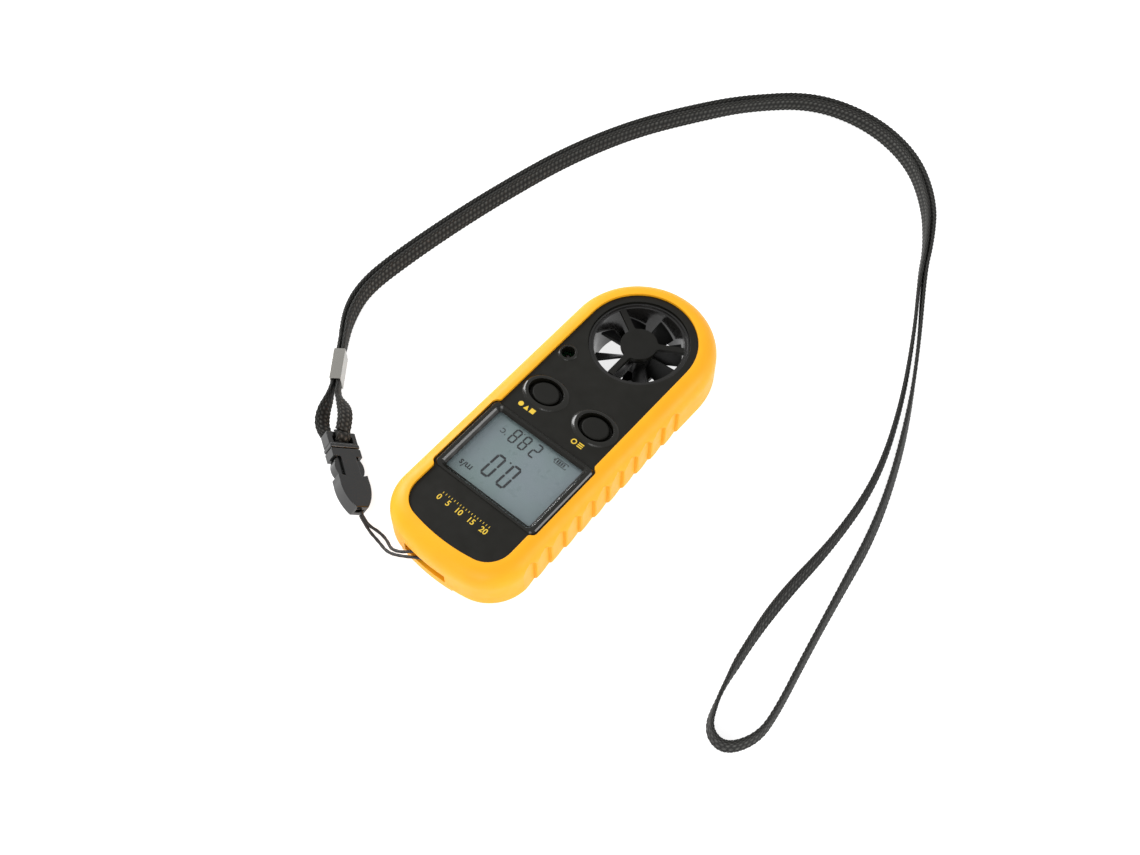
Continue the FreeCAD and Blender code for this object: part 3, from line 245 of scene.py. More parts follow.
switch_can = brushed_metal(
    "switch_can", (0.62, 0.60, 0.56), (0.48, 0.46, 0.43), roughness=0.35, stretch=6.0)
finish(switch_can, "key_switches")

# ---- Battery bay ----
# White moulded ring for a coin cell, gold-plated spring contacts above and beside it, and the cell's
# pressed steel can.
white_nylon = moulded(
    "white_nylon", (0.78, 0.77, 0.72), (0.72, 0.71, 0.66), roughness=0.5, grain=0.3 * MM, depth=0.01 * MM)
finish(white_nylon, "battery_holder", "display_holder")
contact_plating = brushed_metal(
    "contact_plating", (0.83, 0.62, 0.26), (0.72, 0.52, 0.2), roughness=0.3, stretch=5.0)
finish(contact_plating, "side_contact", "end_contact")
cell_can = brushed_metal("cell_can", (0.72, 0.71, 0.69), (0.60, 0.59, 0.57), roughness=0.32, stretch=9.0)
finish(cell_can, "coin_cell")

# ---- Wind duct and rotor ----
# Glossy black tube through the case with a three-armed carrier at each end. The vaned rotor turns on a
# steel axle in bronze bushes, and its magnet ring passes the pickup once a turn.
duct_black = moulded(
    "duct_black", (0.009, 0.0085, 0.008), (0.016, 0.015, 0.014),
    roughness=0.2, grain=2.6 * MM, depth=0.05 * MM, edge=0.12 * MM)
finish(duct_black, "fan_duct")
carrier_black = moulded(
    "carrier_black", (0.005, 0.0049, 0.0037), (0.0066, 0.0064, 0.005),
    roughness=0.44, grain=0.25 * MM, depth=0.008 * MM, specular=0.22)
finish(carrier_black, "front_spider", "rear_spider")
rotor_black = moulded(
    "rotor_black", (0.006, 0.006, 0.006), (0.009, 0.009, 0.0085),
    roughness=0.36, grain=0.5 * MM, depth=0.01 * MM, specular=0.27)
finish(rotor_black, "rotor")
bush_bronze = brushed_metal(
    "bush_bronze", (0.58, 0.36, 0.16), (0.45, 0.27, 0.12), roughness=0.4, stretch=4.0)
finish(bush_bronze, "front_bearing", "rear_bearing")
axle_steel = brushed_metal(
    "axle_steel", (0.60, 0.60, 0.60), (0.48, 0.48, 0.48), roughness=0.25, stretch=4.0)
finish(axle_steel, "rotor_axle")
magnet_ferrite = moulded(
    "magnet_ferrite", (0.05, 0.05, 0.055), (0.035, 0.035, 0.04),
    roughness=0.55, grain=0.15 * MM, depth=0.02 * MM)
finish(magnet_ferrite, "rotor_magnet")


# ---- Display ----
# Liquid crystal cell on two striped rubber connectors: pale grey-blue glass with dark segments for a
# speed, a temperature and the battery. The digits read from the fan's end.
def display_glass():
    """Polarised glass: a grey-blue ground with a slow violet drift towards one corner."""
    material = bpy.data.materials.new("display_glass")
    material.use_nodes = True
    tree = material.node_tree
    shader = tree.nodes["Principled BSDF"]
    place = tree.nodes.new("ShaderNodeTexCoord").outputs["Object"]
    violet = mottle(tree, place, 0.0, 1.0, 17 * MM)
    ground = tinted(tree, violet, (0.162, 0.218, 0.214), (0.186, 0.222, 0.244))
    tree.links.new(ground, shader.inputs["Base Color"])
    tree.links.new(mottle(tree, place, 0.26, 0.36, 3 * MM), shader.inputs["Roughness"])
    shader.inputs["Specular IOR Level"].default_value = 0.35
    return material


finish(display_glass(), "display_cell")


def striped_rubber():
    """Pink-grey silicone with thin black conducting stripes along its length."""
    material = bpy.data.materials.new("striped_rubber")
    material.use_nodes = True
    tree = material.node_tree
    shader = tree.nodes["Principled BSDF"]
    place = tree.nodes.new("ShaderNodeTexCoord").outputs["Object"]
    stripes = linked(tree, "ShaderNodeTexWave", Vector=place, Scale=1 / (0.6 * MM))
    striped = tinted(tree, stripes.outputs["Fac"], (0.02, 0.02, 0.02), (0.5, 0.4, 0.4))
    tree.links.new(striped, shader.inputs["Base Color"])
    shader.inputs["Roughness"].default_value = 0.6
    return material


finish(striped_rubber(), "zebra_connectors")


def add_piece(name, mesh, body, material=None):
    """Link a finished mesh as a piece that moves with a body."""
    piece = bpy.data.objects.new(name, mesh)
    bpy.context.scene.collection.objects.link(piece)
    if material:
        mesh.materials.append(material)
    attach(piece, body)
    return piece


def flat_marks(name, outlines, foot, thickness):
    """Thin closed plates from plan outlines in millimetres."""
    mesh = bmesh.new()
    for corners in outlines:
        low = [mesh.verts.new((x * MM, y * MM, foot)) for x, y in corners]
        high = [mesh.verts.new((x * MM, y * MM, foot + thickness)) for x, y in corners]
        mesh.faces.new(list(reversed(low)))
        mesh.faces.new(high)
        for index, _ in enumerate(corners):
            following = (index + 1) % len(corners)
            mesh.faces.new((low[index], low[following], high[following], high[index]))
    bmesh.ops.recalc_face_normals(mesh, faces=mesh.faces)
    result = bpy.data.meshes.new(name)
    mesh.to_mesh(result)
    mesh.free()
    return result


SEGMENTS = {"0": "abcdef", "2": "abged", "8": "abcdefg"}
SEGMENT_GAP = 0.12      # of a stroke, left open between two segments


def bar(first, second, stroke):
    """One segment: a bar with pointed ends between two places in plan."""
    length = math.dist(first, second)
    ahead = ((second[0] - first[0]) / length, (second[1] - first[1]) / length)
    half = stroke / 2
    gap = SEGMENT_GAP * stroke
    steps = ((gap, 0), (half, half), (length - half, half), (length - gap, 0), (length - half, -half),
             (half, -half))
    return [(first[0] + ahead[0] * along - ahead[1] * side, first[1] + ahead[1] * along + ahead[0] * side)
            for along, side in steps]


def digit_bars(digit, left, low, width, height, stroke, slant=0.04):
    """The lit segments of one digit."""
    places = {}
    for row in (0, 1, 2):
        for column in (0, 1):
            up_by = row * height / 2
            places[column, row] = (left + column * width + slant * (up_by - height / 2), low + up_by)
    ends = {"a": ((0, 2), (1, 2)), "b": ((1, 1), (1, 2)), "c": ((1, 0), (1, 1)), "d": ((0, 0), (1, 0)),
            "e": ((0, 0), (0, 1)), "f": ((0, 1), (0, 2)), "g": ((0, 1), (1, 1))}
    return [bar(places[ends[letter][0]], places[ends[letter][1]], stroke) for letter in SEGMENTS[digit]]


def block(left, low, width, height):
    """A rectangle from its lower left corner."""
    return [(left, low), (left + width, low), (left + width, low + height), (left, low + height)]


display_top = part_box("display_cell")[1].z
MARK_THICKNESS = 0.02 * MM
# Each row: its figures with their left edges, then the low edge, width, height and stroke, in millimetres.
SMALL_ROW = ((("8", -7.55), ("8", -4.1), ("2", -0.3)), (-14.6, 1.75, 4.3, 0.48))
LARGE_ROW = ((("0", -6.25), ("0", -0.9)), (-26.65, 2.4, 7.25, 0.7))
POINTS = ((-5.2, -10.55, 0.32, 0.32), (-2.3, -19.75, 0.5, 0.5))
BATTERY_OUTLINE = (
    (6.5, -10.35, 3.9, 0.19), (6.5, -11.95, 3.9, 0.19), (6.31, -11.95, 0.19, 1.79),
    (5.95, -11.45, 0.28, 0.75), (10.21, -10.75, 0.19, 0.45), (10.21, -11.95, 0.19, 0.45))
DEGREE_PLACE = (-9.2, -13.85)
DEGREE_RADIUS = 0.2
DEGREE_SIDES = 8
marks = []
for figures, (low, width, height, stroke) in (SMALL_ROW, LARGE_ROW):
    for digit, left in figures:
        marks += digit_bars(digit, left, low, width, height, stroke)
marks += [block(*sizes) for sizes in POINTS + BATTERY_OUTLINE]
degree_turns = [2 * math.pi * step / DEGREE_SIDES for step in range(DEGREE_SIDES)]
marks.append([(DEGREE_PLACE[0] + DEGREE_RADIUS * math.cos(turn),
               DEGREE_PLACE[1] + DEGREE_RADIUS * math.sin(turn)) for turn in degree_turns])
segment_ink = moulded(
    "segment_ink", (0.012, 0.015, 0.018), (0.02, 0.023, 0.026),
    roughness=0.4, grain=0.4 * MM, depth=0.002 * MM)
add_piece("display_marks", flat_marks("display_marks", marks, display_top, MARK_THICKNESS),
          "case", segment_ink)


def row_of_marks():
    """A row of equal thin blocks, with its count, pitch, start and block size as inputs."""
    tree = bpy.data.node_groups.new("row_of_marks", "GeometryNodeTree")
    for name, kind in (("Count", "Int"), ("Start", "Vector"), ("Pitch", "Vector"), ("Size", "Vector"),
                       ("Ink", "Material")):
        tree.interface.new_socket(name, in_out="INPUT", socket_type="NodeSocket" + kind)
    tree.interface.new_socket("Geometry", in_out="OUTPUT", socket_type="NodeSocketGeometry")
    given = tree.nodes.new("NodeGroupInput").outputs
    line = tree.nodes.new("GeometryNodeMeshLine")
    line.mode = "OFFSET"
    tree.links.new(given["Count"], line.inputs["Count"])
    tree.links.new(given["Start"], line.inputs["Start Location"])
    tree.links.new(given["Pitch"], line.inputs["Offset"])
    mark = tree.nodes.new("GeometryNodeMeshCube")
    tree.links.new(given["Size"], mark.inputs["Size"])
    spread = tree.nodes.new("GeometryNodeInstanceOnPoints")
    tree.links.new(line.outputs["Mesh"], spread.inputs["Points"])
    tree.links.new(mark.outputs["Mesh"], spread.inputs["Instance"])
    real = tree.nodes.new("GeometryNodeRealizeInstances")
    tree.links.new(spread.outputs["Instances"], real.inputs["Geometry"])
    inked = tree.nodes.new("GeometryNodeSetMaterial")
    tree.links.new(real.outputs["Geometry"], inked.inputs["Geometry"])
    tree.links.new(given["Ink"], inked.inputs["Material"])
    result = tree.nodes.new("NodeGroupOutput")
    tree.links.new(inked.outputs["Geometry"], result.inputs["Geometry"])
    return tree


MARK_ROW = row_of_marks()


def made_row(name, count, start, pitch, size, ink):
    """Plain mesh of a row of marks; lengths in millimetres."""
    values = {"Count": count, "Start": Vector(start) * MM, "Pitch": Vector(pitch) * MM,
              "Size": Vector(size) * MM, "Ink": ink}
    holder = bpy.data.objects.new(name, bpy.data.meshes.new(name + "_holder"))
    bpy.context.scene.collection.objects.link(holder)
    row = holder.modifiers.new("row", "NODES")
    row.node_group = MARK_ROW
    for socket in MARK_ROW.interface.items_tree:
        if socket.in_out == "INPUT":
            row[socket.identifier] = values[socket.name]
    mesh = bpy.data.meshes.new_from_object(holder.evaluated_get(bpy.context.evaluated_depsgraph_get()))
    bpy.data.objects.remove(holder)
    return mesh


HALF_MARK = MARK_THICKNESS / MM / 2
BATTERY_BARS = 4
BATTERY_BAR_SIZE = (0.42, 1.05, 0.02)
BATTERY_BAR_PITCH = (0.72, 0.0, 0.0)
charge_row = made_row("charge_bars", BATTERY_BARS, (7.15, -11.05, display_top / MM + HALF_MARK),
                      BATTERY_BAR_PITCH, BATTERY_BAR_SIZE, segment_ink)
add_piece("charge_bars", charge_row, "case")
TEXT_WEIGHT = 0.018


def lettered(name, words, height, place, foot, turned):
    """Thin figures or unit signs, centred on a place in plan; turned ones read from the fan's end."""
    text = bpy.data.curves.new(name, "FONT")
    text.body = words
    text.align_x = "CENTER"
    text.align_y = "CENTER"
    text.extrude = 0.5 * MARK_THICKNESS / (height * MM)
    text.offset = TEXT_WEIGHT
    holder = bpy.data.objects.new(name, text)
    mesh = bpy.data.meshes.new_from_object(holder)
    bpy.data.objects.remove(holder)
    mesh.transform(Matrix.Diagonal((height * MM, height * MM, height * MM, 1)))
    mesh.transform(Matrix.Rotation(math.pi if turned else 0.0, 4, "Z"))
    mesh.transform(Matrix.Translation((place[0] * MM, place[1] * MM, foot + MARK_THICKNESS / 2)))
    return mesh


UNIT_SIGNS = (("speed_unit", "m/s", 2.9, (-10.9, -27.6)), ("warmth_unit", "C", 2.1, (-10.35, -13.1)))
for name, words, height, place in UNIT_SIGNS:
    sign = lettered(name, words, height, place, display_top, True)
    add_piece(name, sign, "case", segment_ink)

# ---- Front panel and window ----
# Satin black moulded panel with a polished raised ridge round the display, soft raised rims round the keys
# and the air sensor, and a clear acrylic pane glued in from behind. Its marks are printed in yellow.
PANEL_SUNK = 0.7 * MM
panel_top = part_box("front_shell")[1].z - PANEL_SUNK
POLISH_START = 0.05 * MM
POLISH_RISE = 0.15 * MM
VARNISH = 0.45


def polished_above(material, height, roughness):
    """Let a finish turn glossier above a height, as where a mould is polished."""
    tree = material.node_tree
    shader = tree.nodes["Principled BSDF"]
    gloss = shader.inputs["Roughness"]
    place = tree.nodes.new("ShaderNodeTexCoord").outputs["Object"]
    split = linked(tree, "ShaderNodeSeparateXYZ", Vector=place)
    rise = linked(tree, "ShaderNodeMapRange", Value=split.outputs["Z"], From_Min=height,
                  From_Max=height + POLISH_RISE)
    varnish = linked(tree, "ShaderNodeMapRange", Value=rise.outputs["Result"], To_Max=VARNISH)
    blend = tree.nodes.new("ShaderNodeMix")
    tree.links.new(rise.outputs["Result"], blend.inputs["Factor"])
    tree.links.new(gloss.links[0].from_socket, blend.inputs["A"])
    blend.inputs["B"].default_value = roughness
    tree.links.new(blend.outputs["Result"], gloss)
    tree.links.new(varnish.outputs["Result"], shader.inputs["Coat Weight"])
    shader.inputs["Coat Roughness"].default_value = 0.12


panel_black = moulded(
    "panel_black", (0.0058, 0.0055, 0.0035), (0.0075, 0.007, 0.005),
    roughness=0.4, grain=0.2 * MM, depth=0.006 * MM, edge=0.2 * MM, specular=0.26)
polished_above(panel_black, height=panel_top + POLISH_START, roughness=0.22)
finish(panel_black, "front_panel")


def clear_acrylic():
    """Clear pane with faint smears in its gloss."""
    material = bpy.data.materials.new("clear_acrylic")
    material.use_nodes = True
    tree = material.node_tree
    shader = tree.nodes["Principled BSDF"]
    place = tree.nodes.new("ShaderNodeTexCoord").outputs["Object"]
    tree.links.new(mottle(tree, place, 0.02, 0.06, 6 * MM), shader.inputs["Roughness"])
    haze = mottle(tree, place, 0.0, 1.0, 12 * MM)
    tree.links.new(tinted(tree, haze, (0.95, 0.97, 0.98), (0.92, 0.95, 0.97)), shader.inputs["Base Color"])
    shader.inputs["Transmission Weight"].default_value = 1.0
    shader.inputs["IOR"].default_value = 1.49
    shader.inputs["Alpha"].default_value = 0.08
    return material


finish(clear_acrylic(), "display_window")
yellow_ink = moulded(
    "yellow_ink", (0.78, 0.53, 0.035), (0.70, 0.46, 0.03), roughness=0.5, grain=0.3 * MM, depth=0.004 * MM)
ROUND_SIDES = 20


def rim_place(x, y, radius, step):
    """A place on a circle's rim, counted in steps round it."""
    turn = 2 * math.pi * step / ROUND_SIDES
    return (x + radius * math.cos(turn), y + radius * math.sin(turn))


def round_mark(x, y, radius):
    """A filled disc."""
    return [rim_place(x, y, radius, step) for step in range(ROUND_SIDES)]


def ring_marks(x, y, radius, stroke):
    """A ring as a row of short plates side by side."""
    inner = radius - stroke
    return [[rim_place(x, y, reach, place)
             for reach, place in ((radius, step), (radius, step + 1), (inner, step + 1), (inner, step))]
            for step in range(ROUND_SIDES)]


# Signs below the keys, in millimetres in plan: a disc, a triangle and a square, then a ring and three lines.
SIGN_Y = -4.2
HALF_SIGN = 0.78
SIGN_STROKE = 0.34
DISC_X = -11.75
TRIANGLE = ((-10.45, -HALF_SIGN), (-8.9, -HALF_SIGN), (-9.68, HALF_SIGN))
SQUARE_LEFT = -8.45
SQUARE_SIDE = 1.5
RING_X = 7.0
RING_RADIUS = 0.85
LINES_LEFT = 8.35
LINE_LENGTH = 1.7
LINE_RISES = (0.42, -0.17, -0.76)
symbols = [round_mark(DISC_X, SIGN_Y, HALF_SIGN)]
symbols.append([(x, SIGN_Y + rise) for x, rise in TRIANGLE])
symbols.append(block(SQUARE_LEFT, SIGN_Y - SQUARE_SIDE / 2, SQUARE_SIDE, SQUARE_SIDE))
symbols += ring_marks(RING_X, SIGN_Y, RING_RADIUS, SIGN_STROKE)
symbols += [block(LINES_LEFT, SIGN_Y + rise, LINE_LENGTH, SIGN_STROKE) for rise in LINE_RISES]
add_piece("key_symbols", flat_marks("key_symbols", symbols, panel_top, MARK_THICKNESS),
          "case", yellow_ink)

SCALE_PLACE = (-0.85, -39.75)
SCALE_HEIGHT = 2.35
scale_figures = lettered("scale_numbers", "0   5   10   15   20", SCALE_HEIGHT, SCALE_PLACE, panel_top, False)
add_piece("scale_numbers", scale_figures, "case", yellow_ink)
SCALE_TICKS = 17
TICK_PITCH = 1.0
TICK_SIZE = (0.16, 0.6, 0.02)
FIRST_TICK = (SCALE_PLACE[0] - (SCALE_TICKS - 1) / 2 * TICK_PITCH, -38.05, panel_top / MM + HALF_MARK)
tick_row = made_row("scale_ticks", SCALE_TICKS, FIRST_TICK, (TICK_PITCH, 0.0, 0.0), TICK_SIZE, yellow_ink)
add_piece("scale_ticks", tick_row, "case")

# ---- Keys ----
# Two oval keys moulded in soft black silicone, matt on top. Each has a web that holds it under the panel,
# and presses its dome switch on the board.
key_rubber = moulded(
    "key_rubber", (0.0055, 0.0053, 0.0038), (0.0072, 0.007, 0.0055),
    roughness=0.6, grain=0.12 * MM, depth=0.006 * MM, edge=0.15 * MM, specular=0.2)
finish(key_rubber, "mode_key", "set_key")

# ---- Battery cover and screws ----
# Orange bayonet cover in the back with a coin slot, and zinc-plated screws in the back shell and through
# the board into bosses under the panel.
finish(orange_abs, "battery_cover")
screw_zinc = brushed_metal(
    "screw_zinc", (0.62, 0.62, 0.60), (0.50, 0.50, 0.48), roughness=0.3, stretch=3.0)
finish(screw_zinc, "case_screws", "board_screws")

# ---- Side-release buckle ----
# Glossy black acetal in two halves: the strap's half has a frame, a shoulder and two springy prongs that
# snap into the windows of the string's half.
buckle_gloss = moulded(
    "buckle_gloss", (0.008, 0.008, 0.0078), (0.011, 0.011, 0.0105),
    roughness=0.13, grain=1.8 * MM, depth=0.02 * MM, edge=0.16 * MM, specular=0.75)
finish(buckle_gloss, "buckle_plug", "buckle_arms", "buckle_socket")

# ---- Strap clamp ----
# Nickel-plated sleeve of thin sheet, bent round both strands of the strap and pressed shut. Its long faces
# are brushed along the strap.
CLAMP_TURN = math.radians(52.6)
clamp_nickel = brushed_metal(
    "clamp_nickel", (0.40, 0.388, 0.36), (0.34, 0.33, 0.305),
    roughness=0.24, stretch=14.0, turn=CLAMP_TURN, spread=0.03, depth=0.0015 * MM)
finish(clamp_nickel, "strap_crimp")

# ---- Neck strap ----
# Black woven polyester strap, 4.6 mm wide, standing on edge and leaning over in places. Its two ends go
# round the buckle's bar and the metal sleeve holds them together. Each face shows staggered oval stitches.
STRAP_WIDTH = 4.6 * MM
STRAP_THICKNESS = 1.2 * MM
STRAP_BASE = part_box("neck_strap")[0].z
STRAP_ROUTE = (
    (-49.2, -42.0), (-52.6, -41.5), (-56.9, -37.5), (-59.9, -30.5),
    (-70.4, -16.8), (-76.3, -8.8), (-80.1, 2.1), (-79.3, 17.1), (-76.8, 37.2), (-73.3, 57.0),
    (-68.3, 79.3), (-60.0, 101.2), (-49.4, 119.5), (-37.5, 136.2), (-22.4, 150.4), (-2.5, 154.5),
    (16.4, 149.6), (30.7, 137.8), (39.4, 123.6), (45.0, 111.0),
    (57.8, 88.8), (71.4, 60.8), (81.0, 33.2), (85.2, 7.2), (88.3, -11.0), (91.2, -26.0),
    (91.8, -35.0), (87.3, -42.6), (81.0, -41.4), (78.0, -33.4), (75.6, -20.5),
    (73.9, -2.0), (75.1, 22.0), (73.1, 44.8), (64.9, 69.1), (53.6, 92.9),
    (43.9, 110.4), (38.2, 123.0), (29.3, 136.6), (15.6, 148.0), (-2.5, 152.7), (-21.6, 148.8),
    (-36.1, 135.0), (-47.8, 118.5), (-58.4, 100.4), (-66.5, 78.7), (-71.5, 56.6), (-75.0, 37.0),
    (-77.5, 16.9), (-78.3, 2.3), (-74.9, -8.0), (-69.4, -16.0),
    (-58.9, -29.7),
)
STRAP_FINISH = ((-54.1, -31.6, 4.6), (-48.9, -35.3, 6.6), (-46.5, -39.0, 6.35))  # over the buckle's bar


def smooth_line(name, route, resolution):
    """Points of a NURBS line whose control points are the route, in metres."""
    curve = bpy.data.curves.new(name, "CURVE")
    curve.dimensions = "3D"
    spline = curve.splines.new("NURBS")
    spline.points.add(len(route) - 1)
    for point, place in zip(spline.points, route):
        point.co = (*place, 1.0)
    spline.order_u = 3
    spline.use_endpoint_u = True
    spline.resolution_u = resolution
    line = bpy.data.objects.new(name, curve)
    mesh = bpy.data.meshes.new_from_object(line)
    points = [vertex.co.copy() for vertex in mesh.vertices]
    bpy.data.objects.remove(line)
    bpy.data.meshes.remove(mesh)
    return points


def sweep(name, line, section_at):
    """Closed tube along a line; its map runs in millimetres along it and in turns around it."""
    travelled = [0.0]
    for before, after in zip(line, line[1:]):
        travelled.append(travelled[-1] + (after - before).length)
    places = []
    for index, centre in enumerate(line):
        ahead = (line[min(index + 1, len(line) - 1)] - line[max(index - 1, 0)]).normalized()
        places += section_at(centre, ahead, travelled, index)
    count = len(places) // len(line)
    faces = []
    corners = []
    for row in range(len(line) - 1):
        for column in range(count):
            following = (column + 1) % count
            faces.append((row * count + column, row * count + following,
                          (row + 1) * count + following, (row + 1) * count + column))
            corners += [(row, column), (row, column + 1), (row + 1, column + 1), (row + 1, column)]
    last = (len(line) - 1) * count
    faces.append(tuple(range(count - 1, -1, -1)))
    faces.append(tuple(range(last, last + count)))
    corners += [(0, column) for column in range(count - 1, -1, -1)]
    corners += [(len(line) - 1, column) for column in range(count)]
    result = bpy.data.meshes.new(name)
    result.from_pydata(places, [], faces)
    uv_map = result.uv_layers.new(name="along")
    for loop, (along, around) in zip(uv_map.data, corners):
        loop.uv = (travelled[along] / MM, around / count)
    result.shade_smooth()
    return result


STRAP_MIDDLE = Vector((0, 0, STRAP_BASE + STRAP_WIDTH / 2))
strap_route = [Vector((x, y, 0)) * MM + STRAP_MIDDLE for x, y in STRAP_ROUTE]
strap_route += [Vector(place) * MM for place in STRAP_FINISH]
strap_line = smooth_line("strap_line", strap_route, resolution=48)
BUCKLE_TURN = math.radians(-31.5)
BUCKLE_ROLL = math.radians(35.0)
bar_direction = Vector((
    -math.sin(BUCKLE_TURN) * math.cos(BUCKLE_ROLL), math.cos(BUCKLE_TURN) * math.cos(BUCKLE_ROLL),
    -math.sin(BUCKLE_ROLL)))
TWIST_LENGTH = 19.5 * MM
TWISTED_LENGTH = 6.0 * MM
SECTION_POINTS = 32
STITCH_PITCH = 1.5 * MM
STITCH_HEIGHT = 0.18 * MM
ROW_SLANT = 0.6
FACE_ROUNDING = 0.6
EDGE_ROUNDING = 0.5
# Millimetres along the strap and the degrees by which it leans to its right there.
STRAP_LEAN = (
    (36, -4), (50, -22), (75, -42), (105, -46), (150, -47), (185, -40), (205, -16), (225, -26),
    (250, -36), (280, -24), (305, -4), (335, 6), (370, 20), (400, 24), (430, 14), (455, 12),
    (468, 16), (478, 14), (486, 2), (496, -16), (515, -28), (545, -16), (590, -12), (625, -8),
    (640, 4), (668, 24), (698, 36), (722, 26), (742, 16), (762, 40), (797, 47), (842, 46),
    (864, 42), (887, 22), (901, 4), (902, 0))


def eased(value, start, end):
    """A smooth climb from 0 at the start to 1 at the end."""
    share = min(1.0, max(0.0, (value - start) / (end - start)))
    return share * share * (3 - 2 * share)


def lean_at(travelled):
    """The lean to the right, in radians, eased between the listed places."""
    degrees = 0.0
    for (start, before), (end, after) in zip(STRAP_LEAN, STRAP_LEAN[1:]):
        if start <= travelled / MM < end:
            degrees = before + (after - before) * eased(travelled / MM, start, end)
    return math.radians(degrees)


def webbing(centre, across, through, travelled):
    """One ring of the flat braid: columns of stitches round it, every other column half a stitch ahead."""
    places = []
    for step in range(SECTION_POINTS):
        turn = 2 * math.pi * step / SECTION_POINTS
        flat = math.copysign(abs(math.cos(turn)) ** FACE_ROUNDING, math.cos(turn))
        thin = math.copysign(abs(math.sin(turn)) ** EDGE_ROUNDING, math.sin(turn))
        stagger = math.pi * ((step // 2) % 2) + ROW_SLANT * math.cos(2 * turn)
        swell = 0.5 + 0.5 * math.cos(2 * math.pi * travelled / STITCH_PITCH + stagger)
        crown = swell if step % 2 else 0.0
        relief = STITCH_HEIGHT * (crown - 1.0)
        crowns.append(crown)
        places.append(centre + across * flat * (STRAP_WIDTH / 2 + relief)
                      + through * thin * (STRAP_THICKNESS / 2 + relief))
    return places


def strap_section(centre, ahead, travelled, index):
    """Flat rounded section with staggered stitches. It leans over in places along the loop and turns to
    lie on the buckle's bar at both ends."""
    to_end = min(travelled[index], travelled[-1] - travelled[index])
    rightward = ahead.cross(Vector((0, 0, 1))).normalized()
    lean = lean_at(travelled[index])
    upright = Vector((0, 0, -math.cos(lean))) - rightward * math.sin(lean)
    across = upright.lerp(bar_direction, 1 - eased(to_end, TWISTED_LENGTH, TWIST_LENGTH))
    across = (across - ahead * across.dot(ahead)).normalized()
    through = across.cross(ahead)
    return webbing(centre, across, through, travelled[index])


def woven_black():
    """Black yarn with a painted highlight on the crown of each stitch and painted shade between the stitches.
    """
    material = bpy.data.materials.new("woven_black")
    material.use_nodes = True
    tree = material.node_tree
    shader = tree.nodes["Principled BSDF"]
    along = tree.nodes.new("ShaderNodeUVMap")
    along.uv_map = "along"
    stretched = linked(tree, "ShaderNodeMapping", Vector=along.outputs["UV"], Scale=(1.0, 24.0, 1.0))
    threads = linked(
        tree, "ShaderNodeTexWave", Vector=stretched.outputs["Vector"], Scale=1.1, Distortion=2.2, Detail=2.0)
    threads.bands_direction = "DIAGONAL"
    # Painted light: the stitch crowns are painted lighter as a highlight, and the hollows between the
    # stitches are painted near black as shade.
    crown = tree.nodes.new("ShaderNodeAttribute")
    crown.attribute_name = "crown"
    fuzz = linked(tree, "ShaderNodeTexNoise", Vector=stretched.outputs["Vector"], Scale=0.8, Detail=3.0)
    painted_crown_light = tree.nodes.new("ShaderNodeMath")
    painted_crown_light.operation = "MULTIPLY"
    tree.links.new(crown.outputs["Fac"], painted_crown_light.inputs[0])
    tree.links.new(fuzz.outputs["Fac"], painted_crown_light.inputs[1])
    yarn = tinted(tree, painted_crown_light.outputs[0], (0.0070, 0.0070, 0.0062), (0.18, 0.178, 0.165))
    tree.links.new(yarn, shader.inputs["Base Color"])
    bump = linked(tree, "ShaderNodeBump", Height=threads.outputs["Fac"], Distance=0.05 * MM)
    tree.links.new(bump.outputs["Normal"], shader.inputs["Normal"])
    shader.inputs["Roughness"].default_value = 0.6
    shader.inputs["Specular IOR Level"].default_value = 0.22
    return material


def woven(name, line, section_at):
    """Swept webbing that remembers how high each point stands in its stitch."""
    crowns.clear()
    mesh = sweep(name, line, section_at)
    mesh.attributes.new("crown", "FLOAT", "POINT").data.foreach_set("value", crowns)
    return mesh


crowns = []
woven_yarn = woven_black()
neck_strap = add_piece(
    "woven_strap", woven("woven_strap", strap_line, strap_section), "strap_half", woven_yarn)
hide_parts("neck_strap")

# ---- Strap fold round the bar ----
# The strap's end passes through the buckle's frame and back, so one short fold of the same webbing is
# pulled tight round the bar.
BUCKLE_ORIGIN = Vector((-47.5, -40.3, 4.45)) * MM
bar_ahead = Vector((math.cos(BUCKLE_TURN), math.sin(BUCKLE_TURN), 0))
bar_face = bar_ahead.cross(bar_direction)
FOLD_ROUTE = (
    (-0.3, 1.9), (0.9, 2.75), (2.45, 2.5), (2.5, 0.0), (2.45, -2.4), (0.9, -2.6), (-0.6, -2.4), (-0.85, -1.0))
FOLD_SHARE = 0.62


def fold_section(centre, ahead, travelled, index):
    """Webbing laid across the bar, a little thinner where it is pulled tight."""
    return webbing(centre, bar_direction, bar_direction.cross(ahead) * FOLD_SHARE, travelled[index])


fold_route = [BUCKLE_ORIGIN + (bar_ahead * x + bar_face * z) * MM for x, z in FOLD_ROUTE]
fold_line = smooth_line("fold_line", fold_route, resolution=12)
bar_fold = add_piece(
    "bar_fold", woven("bar_fold", fold_line, fold_section), "strap_half", woven_yarn)


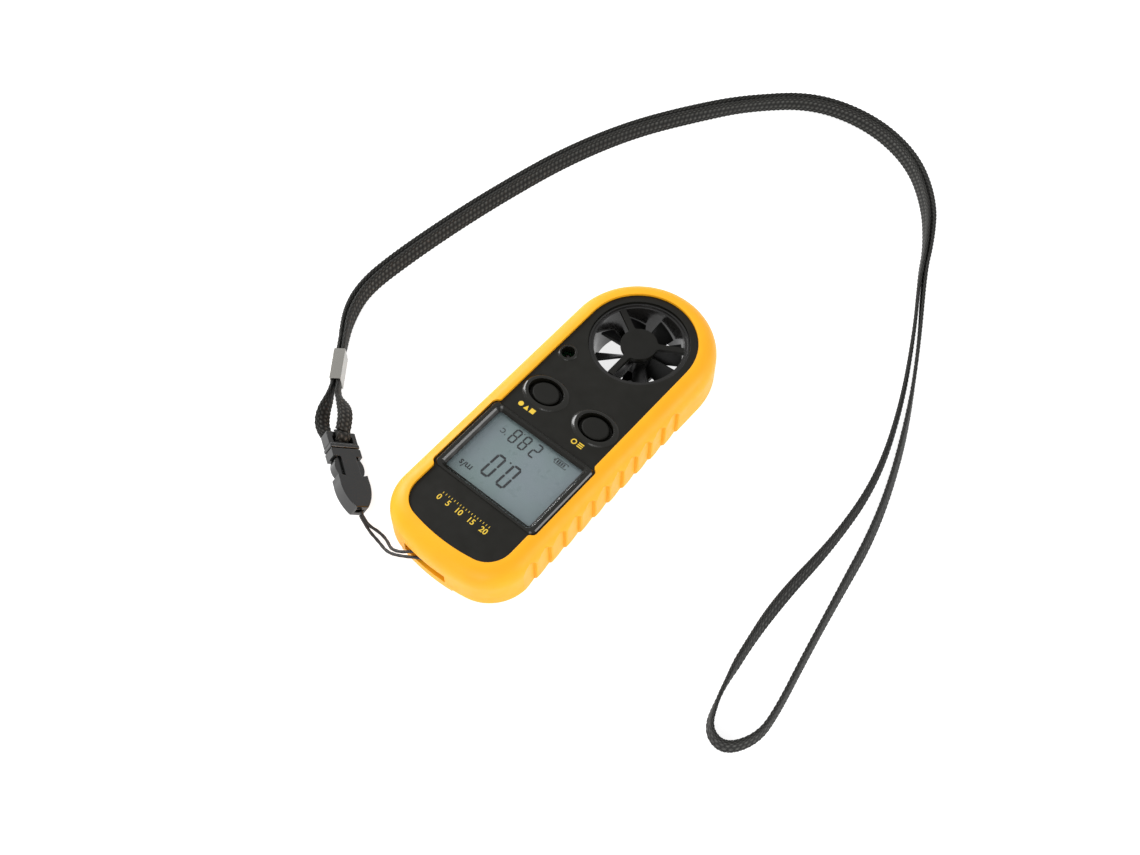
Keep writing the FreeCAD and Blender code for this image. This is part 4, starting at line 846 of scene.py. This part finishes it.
# ---- Lanyard string ----
# Thin waxed black braid of two twisted plies: from the buckle's tip into the slot, round the post and back
# to the tip, where its ends are moulded in.
STRING_DIAMETER = 0.9 * MM
STRING_ROUTE = (
    (-25.9, -53.1, 4.5), (-23.0, -54.4, 2.9), (-19.2, -53.4, 1.4), (-15.8, -53.9, 1.5),
    (-12.5, -55.6, 2.6), (-7.6, -54.4, 5.4), (-3.4, -48.6, 5.7), (0.3, -48.5, 5.6),
    (0.4, -52.4, 5.3), (-3.2, -52.5, 5.1), (-8.0, -55.5, 4.4), (-13.0, -56.6, 1.8),
    (-17.8, -55.4, 0.9), (-21.8, -55.0, 1.7), (-25.4, -53.9, 4.1),
)
string_line = smooth_line("string_line", [Vector(place) * MM for place in STRING_ROUTE], resolution=24)
STRAND_TURN = 2.4 * MM
PLY_HOLLOW = 0.06
STRING_POINTS = 16


def string_section(centre, ahead, travelled, index):
    """Two twisted plies: a round section with two shallow hollows that wind along the string."""
    side = ahead.cross(Vector((0, 0, 1))).normalized()
    upward = side.cross(ahead)
    places = []
    for step in range(STRING_POINTS):
        turn = 2 * math.pi * step / STRING_POINTS
        lay = math.cos(2 * turn + 2 * math.pi * travelled[index] / STRAND_TURN)
        radius = STRING_DIAMETER / 2 * (1 - PLY_HOLLOW + PLY_HOLLOW * lay)
        places.append(centre + (side * math.cos(turn) - upward * math.sin(turn)) * radius)
    return places


def waxed_string():
    """Dark waxed braid with fine diagonal threads."""
    material = bpy.data.materials.new("waxed_string")
    material.use_nodes = True
    tree = material.node_tree
    shader = tree.nodes["Principled BSDF"]
    along = tree.nodes.new("ShaderNodeUVMap")
    along.uv_map = "along"
    stretched = linked(tree, "ShaderNodeMapping", Vector=along.outputs["UV"], Scale=(1.0, 3.0, 1.0))
    threads = linked(tree, "ShaderNodeTexWave", Vector=stretched.outputs["Vector"], Scale=1.2, Distortion=1.0)
    threads.bands_direction = "DIAGONAL"
    waxed = tinted(tree, threads.outputs["Fac"], (0.007, 0.006, 0.006), (0.022, 0.019, 0.018))
    tree.links.new(waxed, shader.inputs["Base Color"])
    bump = linked(tree, "ShaderNodeBump", Height=threads.outputs["Fac"], Distance=0.03 * MM)
    tree.links.new(bump.outputs["Normal"], shader.inputs["Normal"])
    shader.inputs["Roughness"].default_value = 0.5
    return material


lanyard_string = add_piece(
    "braided_string", sweep("braided_string", string_line, string_section),
    "case", waxed_string())
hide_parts("lanyard_string")
